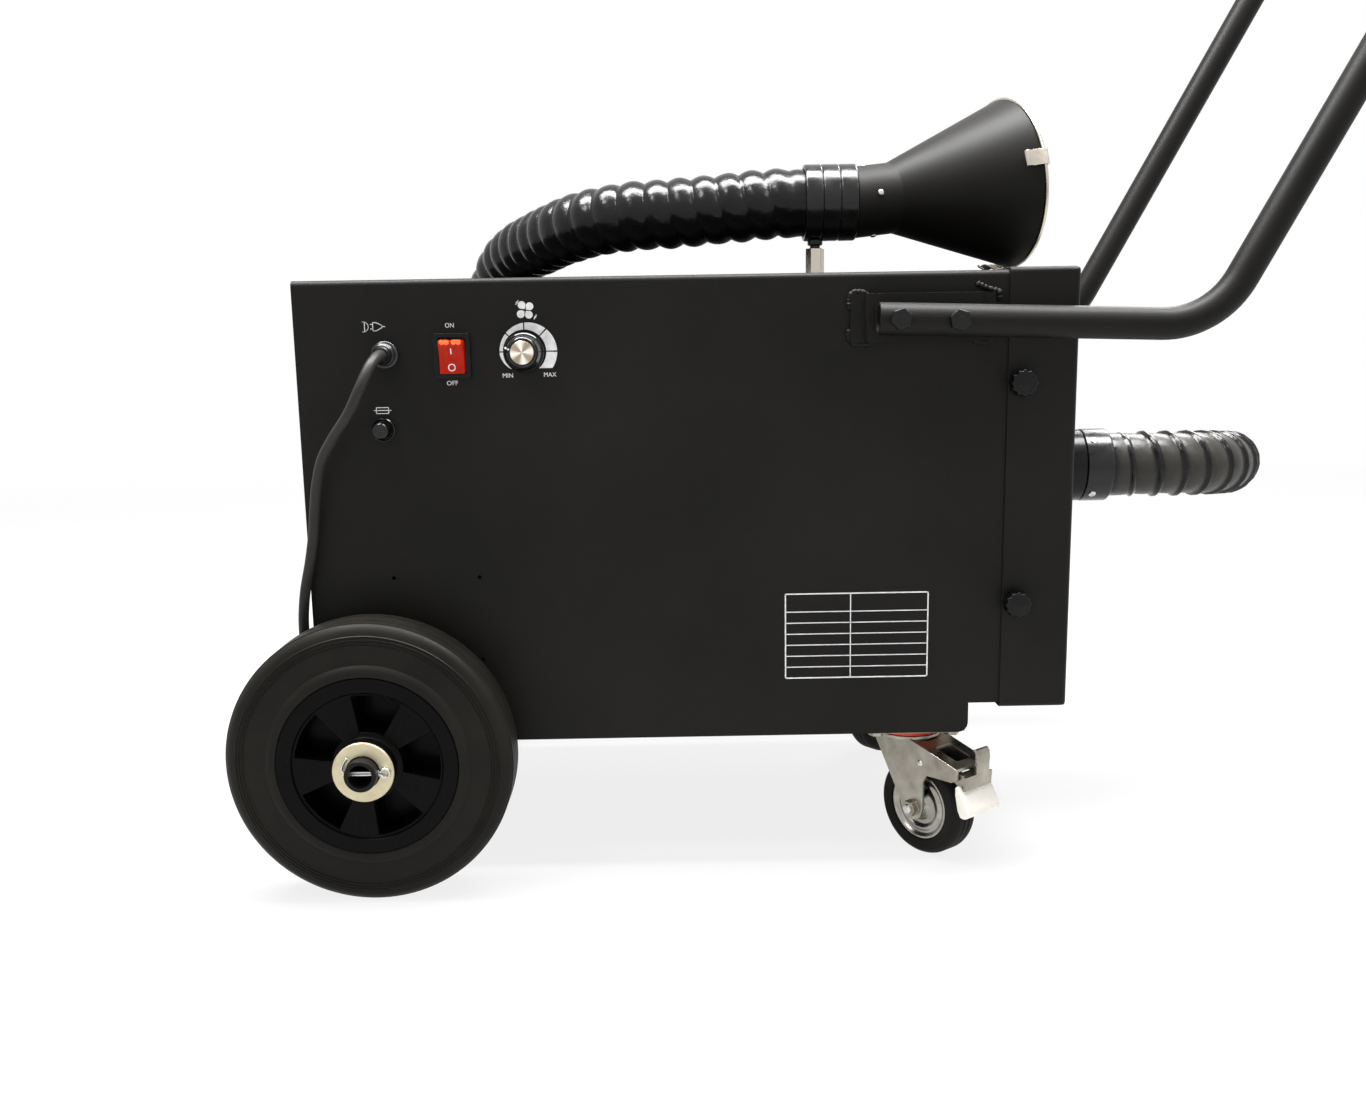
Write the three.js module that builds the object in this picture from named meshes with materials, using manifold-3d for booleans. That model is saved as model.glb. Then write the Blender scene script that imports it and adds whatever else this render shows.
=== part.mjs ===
// Mobile welding fume extractor: a sheet steel cabinet on two wheels and two braked castors, with a
// push handle, a scroll fan, a cartridge filter behind a clamped door and a hose with a round hood.
// Millimetres. X runs from the exhaust end to the filter door, Y from the control side to the rear,
// Z up from the floor. The origin is on the floor under the middle of the machine.

import * as THREE from 'three';
import { mergeVertices } from 'three/addons/utils/BufferGeometryUtils.js';
import Module from 'manifold-3d';

const wasm = await Module();
wasm.setup();

// Fits and sheet
const FIT = 0.3;
const SHEET = 1.5;
const FOLD_RADIUS = 4;
const SCREW_HOLE = 3.3;

// Cabinet
const BODY_WIDTH = 290;
const BODY_HEIGHT = 330;
const SEAM_X = 494;
const DOOR_DEPTH = 49;
const DOOR_LAP = 24;
const DOOR_EDGE_RADIUS = 4;
const DOOR_DROP = 3.5;
const NOTCH_X = 472;
const NOTCH_RISE = 22;
const SKIRT_CORNER = 7;
const PAN_RISE = 12;
const KNOB_INSET = 9;
const KNOB_UPPER = 253;
const KNOB_LOWER = 97;

// Exhaust slots in the left end panel
const SLOT_LENGTH = 84;
const SLOT_HEIGHT = 9;
const SLOT_PITCH = 30;
const SLOT_ROWS = 6;
const SLOT_COLUMNS = 2;
const SLOT_GAP = 22;
const PANEL_FLANGE = 14;

// Control positions on the front, from the exhaust end and from the skirt edge
const GLAND_X = 62.4;
const GLAND_Z = 279;
const SWITCH_X = 108.7;
const SWITCH_Z = 277.6;
const SPEED_X = 159;
const SPEED_Z = 279.2;
const FUSE_X = 58.5;
const FUSE_Z = 227.2;
const RIVET_HOLES = [[59.7, 121.7], [120.8, 121.3], [120.6, 60.9], [60, 60.9]];
const RIVET_HOLE = 1.6;

// Filter chamber
const BULKHEAD_X = 268;
const INLET_MOUTH = 46;
const FILTER_X = 316;
const FILTER_DEPTH = 118;
const FILTER_GAP = 7;
const FILTER_HEIGHT = 296;
const FILTER_WALL = 4;
const FILTER_RIM = 12;
const PLEATS = 12;
const PLEAT_SKIN = 1.2;
const BAFFLE_X = 462;
const BAFFLE_DEPTH = 16;
const BAFFLE_SLATS = 9;
const SLAT_ANGLE = 50;
const GASKET_WIDTH = 10;
const GASKET_THICKNESS = 5;

// Fan
const FAN_Z = 170;
const IMPELLER_RADIUS = 74;
const IMPELLER_WIDTH = 46;
const IMPELLER_BLADES = 8;
const BLADE_THICKNESS = 1.8;
const SCROLL_CLEARANCE = 8;
const SCROLL_GROWTH = 36;
const SCROLL_WIDTH = 62;
const SCROLL_OUTLET = 112;
const SHAFT_RADIUS = 5;
const MOTOR_RADIUS = 52;
const MOTOR_LENGTH = 92;
const MOTOR_FINS = 8;
const MOTOR_FIN = 5;

// Main wheels and axle
const WHEEL_RADIUS = 100;
const WHEEL_X = 45.8;
const WHEEL_OUT = 31.6;
const TYRE_HALF = 22.4;
const RIM_RADIUS = 62.8;
const HUB_RADIUS = 20;
const HUB_LENGTH = 60;
const AXLE_RADIUS = 11;
const AXLE_BORE = 8;
const WASHER_RADIUS = 21;
const WASHER_THICKNESS = 2;
const PIN_RADIUS = 1.8;
const AXLE_TIP = 5;
const POCKETS = 5;
const POCKET_ANGLE = 40;
const POCKET_DEPTH = 24;

// Castors
const CASTOR_SETBACK = 58;
const CASTOR_INSET = 41;
const CASTOR_RADIUS = 37.5;
const CASTOR_WIDTH = 25;
const CASTOR_TRAIL = 21;
const CASTOR_PLATE_LENGTH = 72;
const CASTOR_PLATE_WIDTH = 66;
const CASTOR_HOLES_X = 56;
const CASTOR_HOLES_Y = 44;
const FRONT_CASTOR_TURN = -52;
const REAR_CASTOR_TURN = 40;
const FORK_SKIN = 2.5;
const FORK_ARM = 60;
const FORK_FALL = 14;

// Handle
const HANDLE_RADIUS = 11;
const HANDLE_WALL = 2;
const HANDLE_START = 400;
const HANDLE_Z = 298;
const HANDLE_LEG = 227;
const HANDLE_SLOPE = 61.3;
const HANDLE_DROOP = 1.9;
const HANDLE_RISE = 599;
const HANDLE_BEND = 57;
const BRACKET_LEFT = 384;
const BRACKET_LENGTH = 100;
const BRACKET_FLANGE = 13;
const BRACKET_HEIGHT = 33;
const BRACKET_SHEET = 3;
const BRACKET_STANDOFF = 11.2;
const BOLT_X = [413.4, 452.6];
const BOLT_RADIUS = 4;
const BOLT_FLATS = 13;

// Hose and hood
const INLET_Z = 178.6;
const HOSE_CREST = 27;
const HOSE_VALLEY = 24.6;
const HOSE_BORE = 22;
const HOSE_PITCH = 18.9;
const SPIGOT_RADIUS = 29;
const SPIGOT_LENGTH = 47;
const CUFF_LAP = 7;
const CUFF_WALL = 2.6;
const INLET_CUFF_LENGTH = 22;
const HOOD_X = 407;
const HOOD_Z = 389.4;
const HOOD_TILT = 6.7;
const HOOD_YAW = 14.3;
const THROAT_RADIUS = 27.3;
const THROAT_LENGTH = 30.5;
const CONE_LENGTH = 98.6;
const MOUTH_RADIUS = 65.4;
const HOOD_SHEET = 1.3;
const HOOD_CUFF_LENGTH = 41;
const CLIPS = 3;
const SUPPORT_X = 375.4;
const SUPPORT_FLATS = 12.8;
const SUPPORT_HEIGHT = 24.3;
const STUD_RADIUS = 4;

// Mains lead
const CORD_RADIUS = 3.75;
const COIL_X = 50;
const COIL_Y = 130;
const COIL_OUTER = 54;
const COIL_INNER = 32.8;
const COIL_LAYERS = 2;
const COIL_STEP = 8.1;
const COIL_TURNS = 2.25;
const CORD_LEAD = 5;
const PLUG_RADIUS = 18;
const PLUG_LENGTH = 44;

// Levels that follow from the sizes above
const SKIRT_Z = WHEEL_RADIUS;
const TOP_Z = SKIRT_Z + BODY_HEIGHT;
const PAN_Z = SKIRT_Z + PAN_RISE;
const MIDDLE_Y = BODY_WIDTH / 2;
const BODY_END = SEAM_X + DOOR_LAP;
const DOOR_FACE = SEAM_X + DOOR_DEPTH;
const KNOB_X = SEAM_X + KNOB_INSET;
const CASTOR_X = SEAM_X - CASTOR_SETBACK;
const FILTER_WIDTH = BODY_WIDTH - 2 * FILTER_GAP;
const HOSE_TOP = SKIRT_Z + HOOD_Z;
const DOOR_SKIN = SHEET + FIT;

// Finishes
const POWDER = { color: 0x1e1d1d, roughness: 0.5, metalness: 0.1 };
const GALVANISED = { color: 0x9da1a3, roughness: 0.45, metalness: 0.8 };
const ZINC = { color: 0xc4c6c4, roughness: 0.3, metalness: 0.9 };
const WASHER_ZINC = { color: 0xd8cda6, roughness: 0.45, metalness: 0.7 };
const NICKEL = { color: 0xb9b4a8, roughness: 0.22, metalness: 1 };
const ALUMINIUM = { color: 0xcbbfae, roughness: 0.3, metalness: 1 };
const RUBBER = { color: 0x1b1a19, roughness: 0.75, metalness: 0 };
const BLACK_PLASTIC = { color: 0x121212, roughness: 0.3, metalness: 0 };
const HOSE_PLASTIC = { color: 0x17161a, roughness: 0.2, metalness: 0 };
const PALE_PLASTIC = { color: 0xe9e4dc, roughness: 0.4, metalness: 0 };
const RED_PLASTIC = { color: 0xb3321a, roughness: 0.5, metalness: 0 };
const LAMP_RED = { color: 0xe02418, roughness: 0.2, metalness: 0 };
const FILTER_PAPER = { color: 0xe8e6dc, roughness: 0.9, metalness: 0 };
const FOAM = { color: 0x2b2b2b, roughness: 0.95, metalness: 0 };
const CORD_JACKET = { color: 0x2a2a2c, roughness: 0.6, metalness: 0 };

const AXIS_X = new THREE.Vector3(1, 0, 0);
const AXIS_Y = new THREE.Vector3(0, 1, 0);
const AXIS_Z = new THREE.Vector3(0, 0, 1);

const radians = THREE.MathUtils.degToRad;

// A closed body from a geometry: shared corners welded, collapsed triangles dropped, faces outwards.
function solid(geometry) {
  const bare = new THREE.BufferGeometry();
  bare.setAttribute('position', geometry.getAttribute('position'));
  if (geometry.index) bare.setIndex(geometry.index);
  const welded = mergeVertices(bare, 1e-4);
  const place = welded.getAttribute('position');
  const corner = (index) => new THREE.Vector3().fromBufferAttribute(place, index);
  const faces = [];
  let volume = 0;
  for (let i = 0; i < welded.index.count; i += 3) {
    const [a, b, c] = [0, 1, 2].map((k) => welded.index.getX(i + k));
    if (a === b || b === c || c === a) continue;
    faces.push([a, b, c]);
    volume += corner(a).dot(corner(b).cross(corner(c)));
  }
  const outward = volume < 0 ? faces.map(([a, b, c]) => [a, c, b]) : faces;
  return new wasm.Manifold(new wasm.Mesh({
    numProp: 3,
    vertProperties: Float32Array.from(place.array),
    triVerts: Uint32Array.from(outward.flat()),
  }));
}

const join = (first, ...others) => others.reduce((sum, body) => sum.add(body), first);
const cut = (first, ...others) => others.reduce((rest, body) => rest.subtract(body), first);

// Puts a finished body into the scene as a named mesh.
function fit(parent, name, body, finish) {
  const data = body.getMesh();
  const geometry = new THREE.BufferGeometry();
  geometry.setAttribute('position', new THREE.BufferAttribute(data.vertProperties, 3));
  geometry.setIndex(new THREE.BufferAttribute(data.triVerts, 1));
  geometry.computeVertexNormals();
  const mesh = new THREE.Mesh(geometry, new THREE.MeshStandardMaterial(finish));
  mesh.name = name;
  parent.add(mesh);
  return mesh;
}

// Outlines
function outline(points) {
  return new THREE.Shape(points.map(([x, y]) => new THREE.Vector2(x, y)));
}

function circle(x, y, radius) {
  return new THREE.Shape().absarc(x, y, radius, 0, 2 * Math.PI, false);
}

function polygon(x, y, radius, sides, turn = 0) {
  const points = [];
  for (let i = 0; i < sides; i += 1) {
    const angle = turn + (2 * Math.PI * i) / sides;
    points.push([x + radius * Math.cos(angle), y + radius * Math.sin(angle)]);
  }
  return outline(points);
}

const hexagon = (x, y, flats, turn = 0) => polygon(x, y, flats / Math.sqrt(3), 6, turn);

function roundedBox(left, low, right, high, radius) {
  const shape = new THREE.Shape();
  shape.moveTo(left + radius, low);
  shape.lineTo(right - radius, low);
  shape.absarc(right - radius, low + radius, radius, -Math.PI / 2, 0, false);
  shape.lineTo(right, high - radius);
  shape.absarc(right - radius, high - radius, radius, 0, Math.PI / 2, false);
  shape.lineTo(left + radius, high);
  shape.absarc(left + radius, high - radius, radius, Math.PI / 2, Math.PI, false);
  shape.lineTo(left, low + radius);
  shape.absarc(left + radius, low + radius, radius, Math.PI, 1.5 * Math.PI, false);
  return shape;
}

function withHole(shape, hole) {
  shape.holes.push(hole);
  return shape;
}

// An outline drawn in (Y, Z), (X, Z) or (X, Y) and extruded between two levels of the third axis.
function extruded(axis, shape, from, to, curveSegments = 2) {
  const depth = to - from;
  const geometry = new THREE.ExtrudeGeometry(shape, { depth, bevelEnabled: false, curveSegments });
  const turn = new THREE.Matrix4();
  if (axis === 'x') turn.makeBasis(AXIS_Y, AXIS_Z, AXIS_X).setPosition(from, 0, 0);
  if (axis === 'y') turn.makeBasis(AXIS_X, AXIS_Z, AXIS_Y.clone().negate()).setPosition(0, to, 0);
  if (axis === 'z') turn.setPosition(0, 0, from);
  return solid(geometry.applyMatrix4(turn));
}

// A profile of [radius, level] pairs turned about an axis through (a, b) in the other two axes.
function turned(axis, profile, sides, a = 0, b = 0) {
  const points = profile.map(([radius, level]) => new THREE.Vector2(radius, level));
  const geometry = new THREE.LatheGeometry(points, sides);
  if (axis === 'x') geometry.rotateZ(-Math.PI / 2).translate(0, a, b);
  if (axis === 'y') geometry.translate(a, 0, b);
  if (axis === 'z') geometry.rotateX(Math.PI / 2).translate(a, b, 0);
  return solid(geometry);
}

// A ring or sleeve, and a plain rod, as turned parts
function sleeve(axis, outer, inner, from, to, sides, a, b) {
  const profile = [[inner, from], [outer, from], [outer, to], [inner, to], [inner, from]];
  return turned(axis, profile, sides, a, b);
}

function rod(axis, radius, from, to, sides, a, b) {
  return turned(axis, [[0, from], [radius, from], [radius, to], [0, to]], sides, a, b);
}

// Stations of a route, each with the direction in which the section faces there
class Route extends THREE.Curve {
  constructor(stations) {
    super();
    this.stations = stations;
  }

  index(t) {
    return Math.round(t * (this.stations.length - 1));
  }

  getPointAt(t) {
    return this.stations[this.index(t)].clone();
  }

  getTangentAt(t) {
    const here = this.index(t);
    const last = this.stations.length - 1;
    const before = this.stations[Math.max(here - 1, 0)];
    const after = this.stations[Math.min(here + 1, last)];
    const station = this.stations[here];
    const arriving = station.clone().sub(before).normalize();
    const leaving = after.clone().sub(station).normalize();
    return arriving.add(leaving).normalize();
  }
}

function swept(section, stations) {
  const route = new Route(stations);
  const settings = { steps: stations.length - 1, extrudePath: route, bevelEnabled: false };
  return solid(new THREE.ExtrudeGeometry(section, settings));
}

// Straight lines through the corners, each corner rounded by an arc
function bentRoute(corners, radius, arcSteps) {
  const stations = [corners[0]];
  for (let i = 1; i < corners.length - 1; i += 1) {
    const back = corners[i - 1].clone().sub(corners[i]).normalize();
    const ahead = corners[i + 1].clone().sub(corners[i]).normalize();
    const half = back.angleTo(ahead) / 2;
    const bisector = back.clone().add(ahead).normalize();
    const centre = corners[i].clone().addScaledVector(bisector, radius / Math.sin(half));
    const first = corners[i].clone().addScaledVector(back, radius / Math.tan(half)).sub(centre);
    const axis = back.clone().negate().cross(ahead).normalize();
    for (let step = 0; step <= arcSteps; step += 1) {
      const angle = ((Math.PI - 2 * half) * step) / arcSteps;
      stations.push(first.clone().applyAxisAngle(axis, angle).add(centre));
    }
  }
  stations.push(corners[corners.length - 1]);
  return stations;
}

const vector = ([x, y, z]) => new THREE.Vector3(x, y, z);

function smoothRoute(points, spacing) {
  const curve = new THREE.CatmullRomCurve3(points.map(vector), false, 'centripetal');
  curve.arcLengthDivisions = 40 * points.length;
  return curve.getSpacedPoints(Math.max(2, Math.round(curve.getLength() / spacing)));
}

const machine = new THREE.Group();

// Cabinet wrapper: front, top and rear folded from one sheet
function cabinetWrapper() {
  const inner = FOLD_RADIUS - SHEET;
  const shape = new THREE.Shape();
  shape.moveTo(0, SKIRT_Z);
  shape.lineTo(0, TOP_Z - FOLD_RADIUS);
  shape.absarc(FOLD_RADIUS, TOP_Z - FOLD_RADIUS, FOLD_RADIUS, Math.PI, Math.PI / 2, true);
  shape.lineTo(BODY_WIDTH - FOLD_RADIUS, TOP_Z);
  shape.absarc(BODY_WIDTH - FOLD_RADIUS, TOP_Z - FOLD_RADIUS, FOLD_RADIUS, Math.PI / 2, 0, true);
  shape.lineTo(BODY_WIDTH, SKIRT_Z);
  shape.lineTo(BODY_WIDTH - SHEET, SKIRT_Z);
  shape.lineTo(BODY_WIDTH - SHEET, TOP_Z - FOLD_RADIUS);
  shape.absarc(BODY_WIDTH - FOLD_RADIUS, TOP_Z - FOLD_RADIUS, inner, 0, Math.PI / 2, false);
  shape.lineTo(FOLD_RADIUS, TOP_Z - SHEET);
  shape.absarc(FOLD_RADIUS, TOP_Z - FOLD_RADIUS, inner, Math.PI / 2, Math.PI, false);
  shape.lineTo(SHEET, SKIRT_Z);
  const shell = extruded('x', shape, 0, BODY_END);

  const below = SKIRT_Z - 1;
  const notch = new THREE.Shape();
  notch.moveTo(NOTCH_X - SKIRT_CORNER, below);
  notch.lineTo(NOTCH_X - SKIRT_CORNER, SKIRT_Z);
  notch.absarc(NOTCH_X - SKIRT_CORNER, SKIRT_Z + SKIRT_CORNER, SKIRT_CORNER, -Math.PI / 2, 0, false);
  notch.lineTo(NOTCH_X, SKIRT_Z + NOTCH_RISE);
  notch.lineTo(BODY_END + 1, SKIRT_Z + NOTCH_RISE);
  notch.lineTo(BODY_END + 1, below);
  const through = (shape2) => extruded('y', shape2, -1, BODY_WIDTH + 1);
  const front = (shape2) => extruded('y', shape2, -1, SHEET + 1);
  const cuts = [through(notch), through(polygon(WHEEL_X, SKIRT_Z, AXLE_RADIUS + 1, 12))];
  for (const height of [KNOB_UPPER, KNOB_LOWER]) {
    cuts.push(through(polygon(KNOB_X, SKIRT_Z + height, SCREW_HOLE, 6)));
  }
  for (const [x, z] of RIVET_HOLES) {
    cuts.push(front(polygon(x, SKIRT_Z + z, RIVET_HOLE, 5)));
  }
  cuts.push(front(polygon(GLAND_X, SKIRT_Z + GLAND_Z, GLAND_NECK + 2 * FIT, 10)));
  cuts.push(front(polygon(FUSE_X, SKIRT_Z + FUSE_Z, FUSE_NECK + 2 * FIT, 10)));
  cuts.push(front(polygon(SPEED_X, SKIRT_Z + SPEED_Z, BUSH_RADIUS + 2 * FIT, 8)));
  const switchHole = roundedBox(
    SWITCH_X - SWITCH_BODY_WIDTH / 2 - FIT,
    SKIRT_Z + SWITCH_Z - SWITCH_BODY_HEIGHT / 2 - FIT,
    SWITCH_X + SWITCH_BODY_WIDTH / 2 + FIT,
    SKIRT_Z + SWITCH_Z + SWITCH_BODY_HEIGHT / 2 + FIT,
    1,
  );
  cuts.push(front(switchHole));
  // Both folds are cut back at the end that the door cap slides over
  for (const y of [-1, BODY_WIDTH - FOLD_RADIUS]) {
    const relief = outline([
      [y, TOP_Z - FOLD_RADIUS],
      [y + FOLD_RADIUS + 1, TOP_Z - FOLD_RADIUS],
      [y + FOLD_RADIUS + 1, TOP_Z + 1],
      [y, TOP_Z + 1],
    ]);
    cuts.push(extruded('x', relief, SEAM_X, BODY_END + 1));
  }
  return cut(shell, ...cuts);
}

// Exhaust end panel: a flanged tray set into the end of the wrapper
function exhaustEndPanel() {
  const gap = SHEET + FIT;
  const left = gap;
  const right = BODY_WIDTH - gap;
  const low = PAN_Z + SHEET + FIT;
  const high = TOP_Z - gap;
  const corner = FOLD_RADIUS - SHEET;
  const outer = extruded('x', roundedBox(left, low, right, high, corner), FIT, PANEL_FLANGE);
  const hollow = roundedBox(left + SHEET, low + SHEET, right - SHEET, high - SHEET, corner / 2);
  const slots = [extruded('x', hollow, FIT + SHEET, PANEL_FLANGE + 1)];
  const middle = (low + high) / 2;
  for (let row = 0; row < SLOT_ROWS; row += 1) {
    for (let column = 0; column < SLOT_COLUMNS; column += 1) {
      const y = MIDDLE_Y + (column - (SLOT_COLUMNS - 1) / 2) * (SLOT_LENGTH + SLOT_GAP);
      const z = middle + (row - (SLOT_ROWS - 1) / 2) * SLOT_PITCH;
      const slot = outline([
        [y - SLOT_LENGTH / 2, z],
        [y - SLOT_LENGTH / 2 + SLOT_HEIGHT / 2, z - SLOT_HEIGHT / 2],
        [y + SLOT_LENGTH / 2 - SLOT_HEIGHT / 2, z - SLOT_HEIGHT / 2],
        [y + SLOT_LENGTH / 2, z],
        [y + SLOT_LENGTH / 2 - SLOT_HEIGHT / 2, z + SLOT_HEIGHT / 2],
        [y - SLOT_LENGTH / 2 + SLOT_HEIGHT / 2, z + SLOT_HEIGHT / 2],
      ]);
      slots.push(extruded('x', slot, -1, FIT + SHEET + 1));
    }
  }
  return cut(outer, ...slots);
}

// Base pan: stepped floor sheet, castor channel and axle saddles
const PAN_LEFT = FIT + SHEET + FIT;
const SADDLE_THICKNESS = 4;
const SADDLE_INSET = 20;
const SADDLE_WIDTH = 56;
const SADDLE_RADIUS = 19;
const CHANNEL_MARGIN = 7;

function basePan() {
  const stepZ = SKIRT_Z + NOTCH_RISE;
  const stepX = NOTCH_X - SHEET;
  const sheet = outline([
    [PAN_LEFT, PAN_Z],
    [stepX + SHEET, PAN_Z],
    [stepX + SHEET, stepZ],
    [BODY_END, stepZ],
    [BODY_END, stepZ + SHEET],
    [stepX, stepZ + SHEET],
    [stepX, PAN_Z + SHEET],
    [PAN_LEFT, PAN_Z + SHEET],
  ]);
  const near = SHEET + FIT;
  const far = BODY_WIDTH - SHEET - FIT;
  const half = CASTOR_HOLES_X / 2 + CHANNEL_MARGIN;
  const channelZ = SKIRT_Z + FIT;
  const wall = SHEET + 1;
  const channel = outline([
    [CASTOR_X - half, channelZ],
    [CASTOR_X + half - 1, channelZ],
    [CASTOR_X + half - 1, PAN_Z + 0.5],
    [CASTOR_X + half - 1 - wall, PAN_Z + 0.5],
    [CASTOR_X + half - 1 - wall, channelZ + wall],
    [CASTOR_X - half + wall, channelZ + wall],
    [CASTOR_X - half + wall, PAN_Z + 0.5],
    [CASTOR_X - half, PAN_Z + 0.5],
  ]);
  const saddle = new THREE.Shape();
  saddle.moveTo(WHEEL_X - SADDLE_WIDTH / 2, PAN_Z + 0.5);
  saddle.lineTo(WHEEL_X - SADDLE_RADIUS, SKIRT_Z);
  saddle.absarc(WHEEL_X, SKIRT_Z, SADDLE_RADIUS, Math.PI, 2 * Math.PI, false);
  saddle.lineTo(WHEEL_X + SADDLE_WIDTH / 2, PAN_Z + 0.5);
  const bore = polygon(WHEEL_X, SKIRT_Z, AXLE_RADIUS + 2 * FIT, 14);
  const parts = [extruded('y', channel, near, far)];
  for (const start of [SADDLE_INSET, BODY_WIDTH - SADDLE_INSET - SADDLE_THICKNESS]) {
    const plate = extruded('y', saddle, start, start + SADDLE_THICKNESS, 6);
    parts.push(cut(plate, extruded('y', bore, start - 1, start + SADDLE_THICKNESS + 1)));
  }
  return join(extruded('y', sheet, near, far), ...parts);
}

// Filter bulkhead: flanged wall with the fan's inlet mouth drawn into it
const MOUTH_ROLL = 9;

function filterBulkhead() {
  const gap = SHEET + FIT;
  const low = PAN_Z + SHEET + FIT;
  const high = TOP_Z - gap;
  const corner = FOLD_RADIUS - SHEET;
  const plate = roundedBox(gap, low, BODY_WIDTH - gap, high, corner);
  const hollow = roundedBox(gap + SHEET, low + SHEET, BODY_WIDTH - gap - SHEET, high - SHEET, 1.2);
  const tray = cut(
    extruded('x', plate, BULKHEAD_X, BULKHEAD_X + PANEL_FLANGE),
    extruded('x', hollow, BULKHEAD_X + SHEET, BULKHEAD_X + PANEL_FLANGE + 1),
  );
  const z = SKIRT_Z + FAN_Z;
  const opening = rod('x', INLET_MOUTH + MOUTH_ROLL - 0.5, BULKHEAD_X - 1, BULKHEAD_X + 3, 16, MIDDLE_Y, z);
  const profile = [];
  const steps = 2;
  for (let i = 0; i <= steps; i += 1) {
    const angle = (Math.PI / 2) * (i / steps);
    const radius = INLET_MOUTH + MOUTH_ROLL - MOUTH_ROLL * Math.sin(angle);
    profile.push([radius, BULKHEAD_X + SHEET - (MOUTH_ROLL + SHEET) * (1 - Math.cos(angle))]);
  }
  const back = profile.map(([radius, level]) => [radius + SHEET, level - SHEET * 0.6]).reverse();
  const mouth = turned('x', [...profile, ...back, profile[0]], 16, MIDDLE_Y, z);
  return join(cut(tray, opening), mouth);
}

// Filter door: a pressed cap that slips over the end of the body
function roundedBlock(box, radius) {
  const [x0, y0, z0, x1, y1, z1] = box;
  const across = extruded('x', roundedBox(y0, z0, y1, z1, radius), x0, x1);
  const side = new THREE.Shape();
  side.moveTo(x0, z0);
  side.lineTo(x1 - radius, z0);
  side.absarc(x1 - radius, z0 + radius, radius, -Math.PI / 2, 0, false);
  side.lineTo(x1, z1 - radius);
  side.absarc(x1 - radius, z1 - radius, radius, 0, Math.PI / 2, false);
  side.lineTo(x0, z1);
  const above = new THREE.Shape();
  above.moveTo(x0, y0);
  above.lineTo(x1 - radius, y0);
  above.absarc(x1 - radius, y0 + radius, radius, -Math.PI / 2, 0, false);
  above.lineTo(x1, y1 - radius);
  above.absarc(x1 - radius, y1 - radius, radius, 0, Math.PI / 2, false);
  above.lineTo(x0, y1);
  return across.intersect(extruded('y', side, y0, y1)).intersect(extruded('z', above, z0, z1));
}

const DOOR_LOW = SKIRT_Z + NOTCH_RISE - DOOR_DROP;

function filterDoor() {
  const outside = [SEAM_X, -DOOR_SKIN, DOOR_LOW, DOOR_FACE, BODY_WIDTH + DOOR_SKIN, TOP_Z + DOOR_SKIN];
  const inside = [
    SEAM_X - 1,
    -FIT,
    DOOR_LOW + SHEET,
    DOOR_FACE - SHEET,
    BODY_WIDTH + FIT,
    TOP_Z + FIT,
  ];
  const shell = cut(roundedBlock(outside, DOOR_EDGE_RADIUS), roundedBlock(inside, DOOR_EDGE_RADIUS - SHEET));
  const holes = [KNOB_UPPER, KNOB_LOWER].map((height) => (
    extruded('y', polygon(KNOB_X, SKIRT_Z + height, SCREW_HOLE, 6), -5, BODY_WIDTH + 5)
  ));
  const inlet = rod('x', SPIGOT_BORE, DOOR_FACE - 5, DOOR_FACE + 1, 20, MIDDLE_Y, SKIRT_Z + INLET_Z);
  return cut(shell, ...holes, inlet);
}

// Door gasket: a foam frame between the end of the body and the door's face
function doorGasket() {
  const from = BODY_END + FIT;
  const low = SKIRT_Z + NOTCH_RISE + FIT;
  const outer = roundedBox(FIT, low, BODY_WIDTH - FIT, TOP_Z - FIT, 3);
  const hole = roundedBox(
    FIT + GASKET_WIDTH,
    low + GASKET_WIDTH,
    BODY_WIDTH - FIT - GASKET_WIDTH,
    TOP_Z - FIT - GASKET_WIDTH,
    2,
  );
  return extruded('x', withHole(outer, hole), from, from + GASKET_THICKNESS, 1);
}

// Lobed thumb knob with its screw, on the front or the rear
const KNOB_RADIUS = 9;
const KNOB_LOBES = 5;
const KNOB_HEAD = 13;
const SCREW_LENGTH = 14;

function doorKnob(name, height, front) {
  const shape = new THREE.Shape();
  const steps = KNOB_LOBES * 4;
  for (let i = 0; i < steps; i += 1) {
    const angle = (2 * Math.PI * i) / steps;
    const radius = KNOB_RADIUS + 0.9 * Math.cos(KNOB_LOBES * angle);
    const x = radius * Math.cos(angle);
    const z = radius * Math.sin(angle);
    if (i === 0) shape.moveTo(x, z);
    else shape.lineTo(x, z);
  }
  const face = DOOR_SKIN + FIT;
  const head = extruded('y', shape, -face - KNOB_HEAD, -face);
  const screw = rod('y', SCREW_HOLE - 3 * FIT, -face - 0.5, SCREW_LENGTH - face, 5);
  const mesh = fit(machine, name, join(head, screw), BLACK_PLASTIC);
  mesh.position.set(KNOB_X, front ? 0 : BODY_WIDTH, SKIRT_Z + height);
  if (!front) mesh.rotation.z = Math.PI;
}

// Cartridge filter: a rimmed frame around one pleated sheet
const FILTER_LOW = PAN_Z + SHEET + FIT;

function filterFrame() {
  const left = MIDDLE_Y - FILTER_WIDTH / 2;
  const right = MIDDLE_Y + FILTER_WIDTH / 2;
  const high = FILTER_LOW + FILTER_HEIGHT;
  const wall = (margin, from, to) => extruded(
    'x',
    roundedBox(left + margin, FILTER_LOW + margin, right - margin, high - margin, 0.6),
    from,
    to,
    1,
  );
  const block = wall(0, FILTER_X, FILTER_X + FILTER_DEPTH);
  const room = wall(FILTER_WALL, FILTER_X + FILTER_WALL, FILTER_X + FILTER_DEPTH - FILTER_WALL);
  return cut(block, room, wall(FILTER_RIM, FILTER_X - 1, FILTER_X + FILTER_DEPTH + 1));
}

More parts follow.
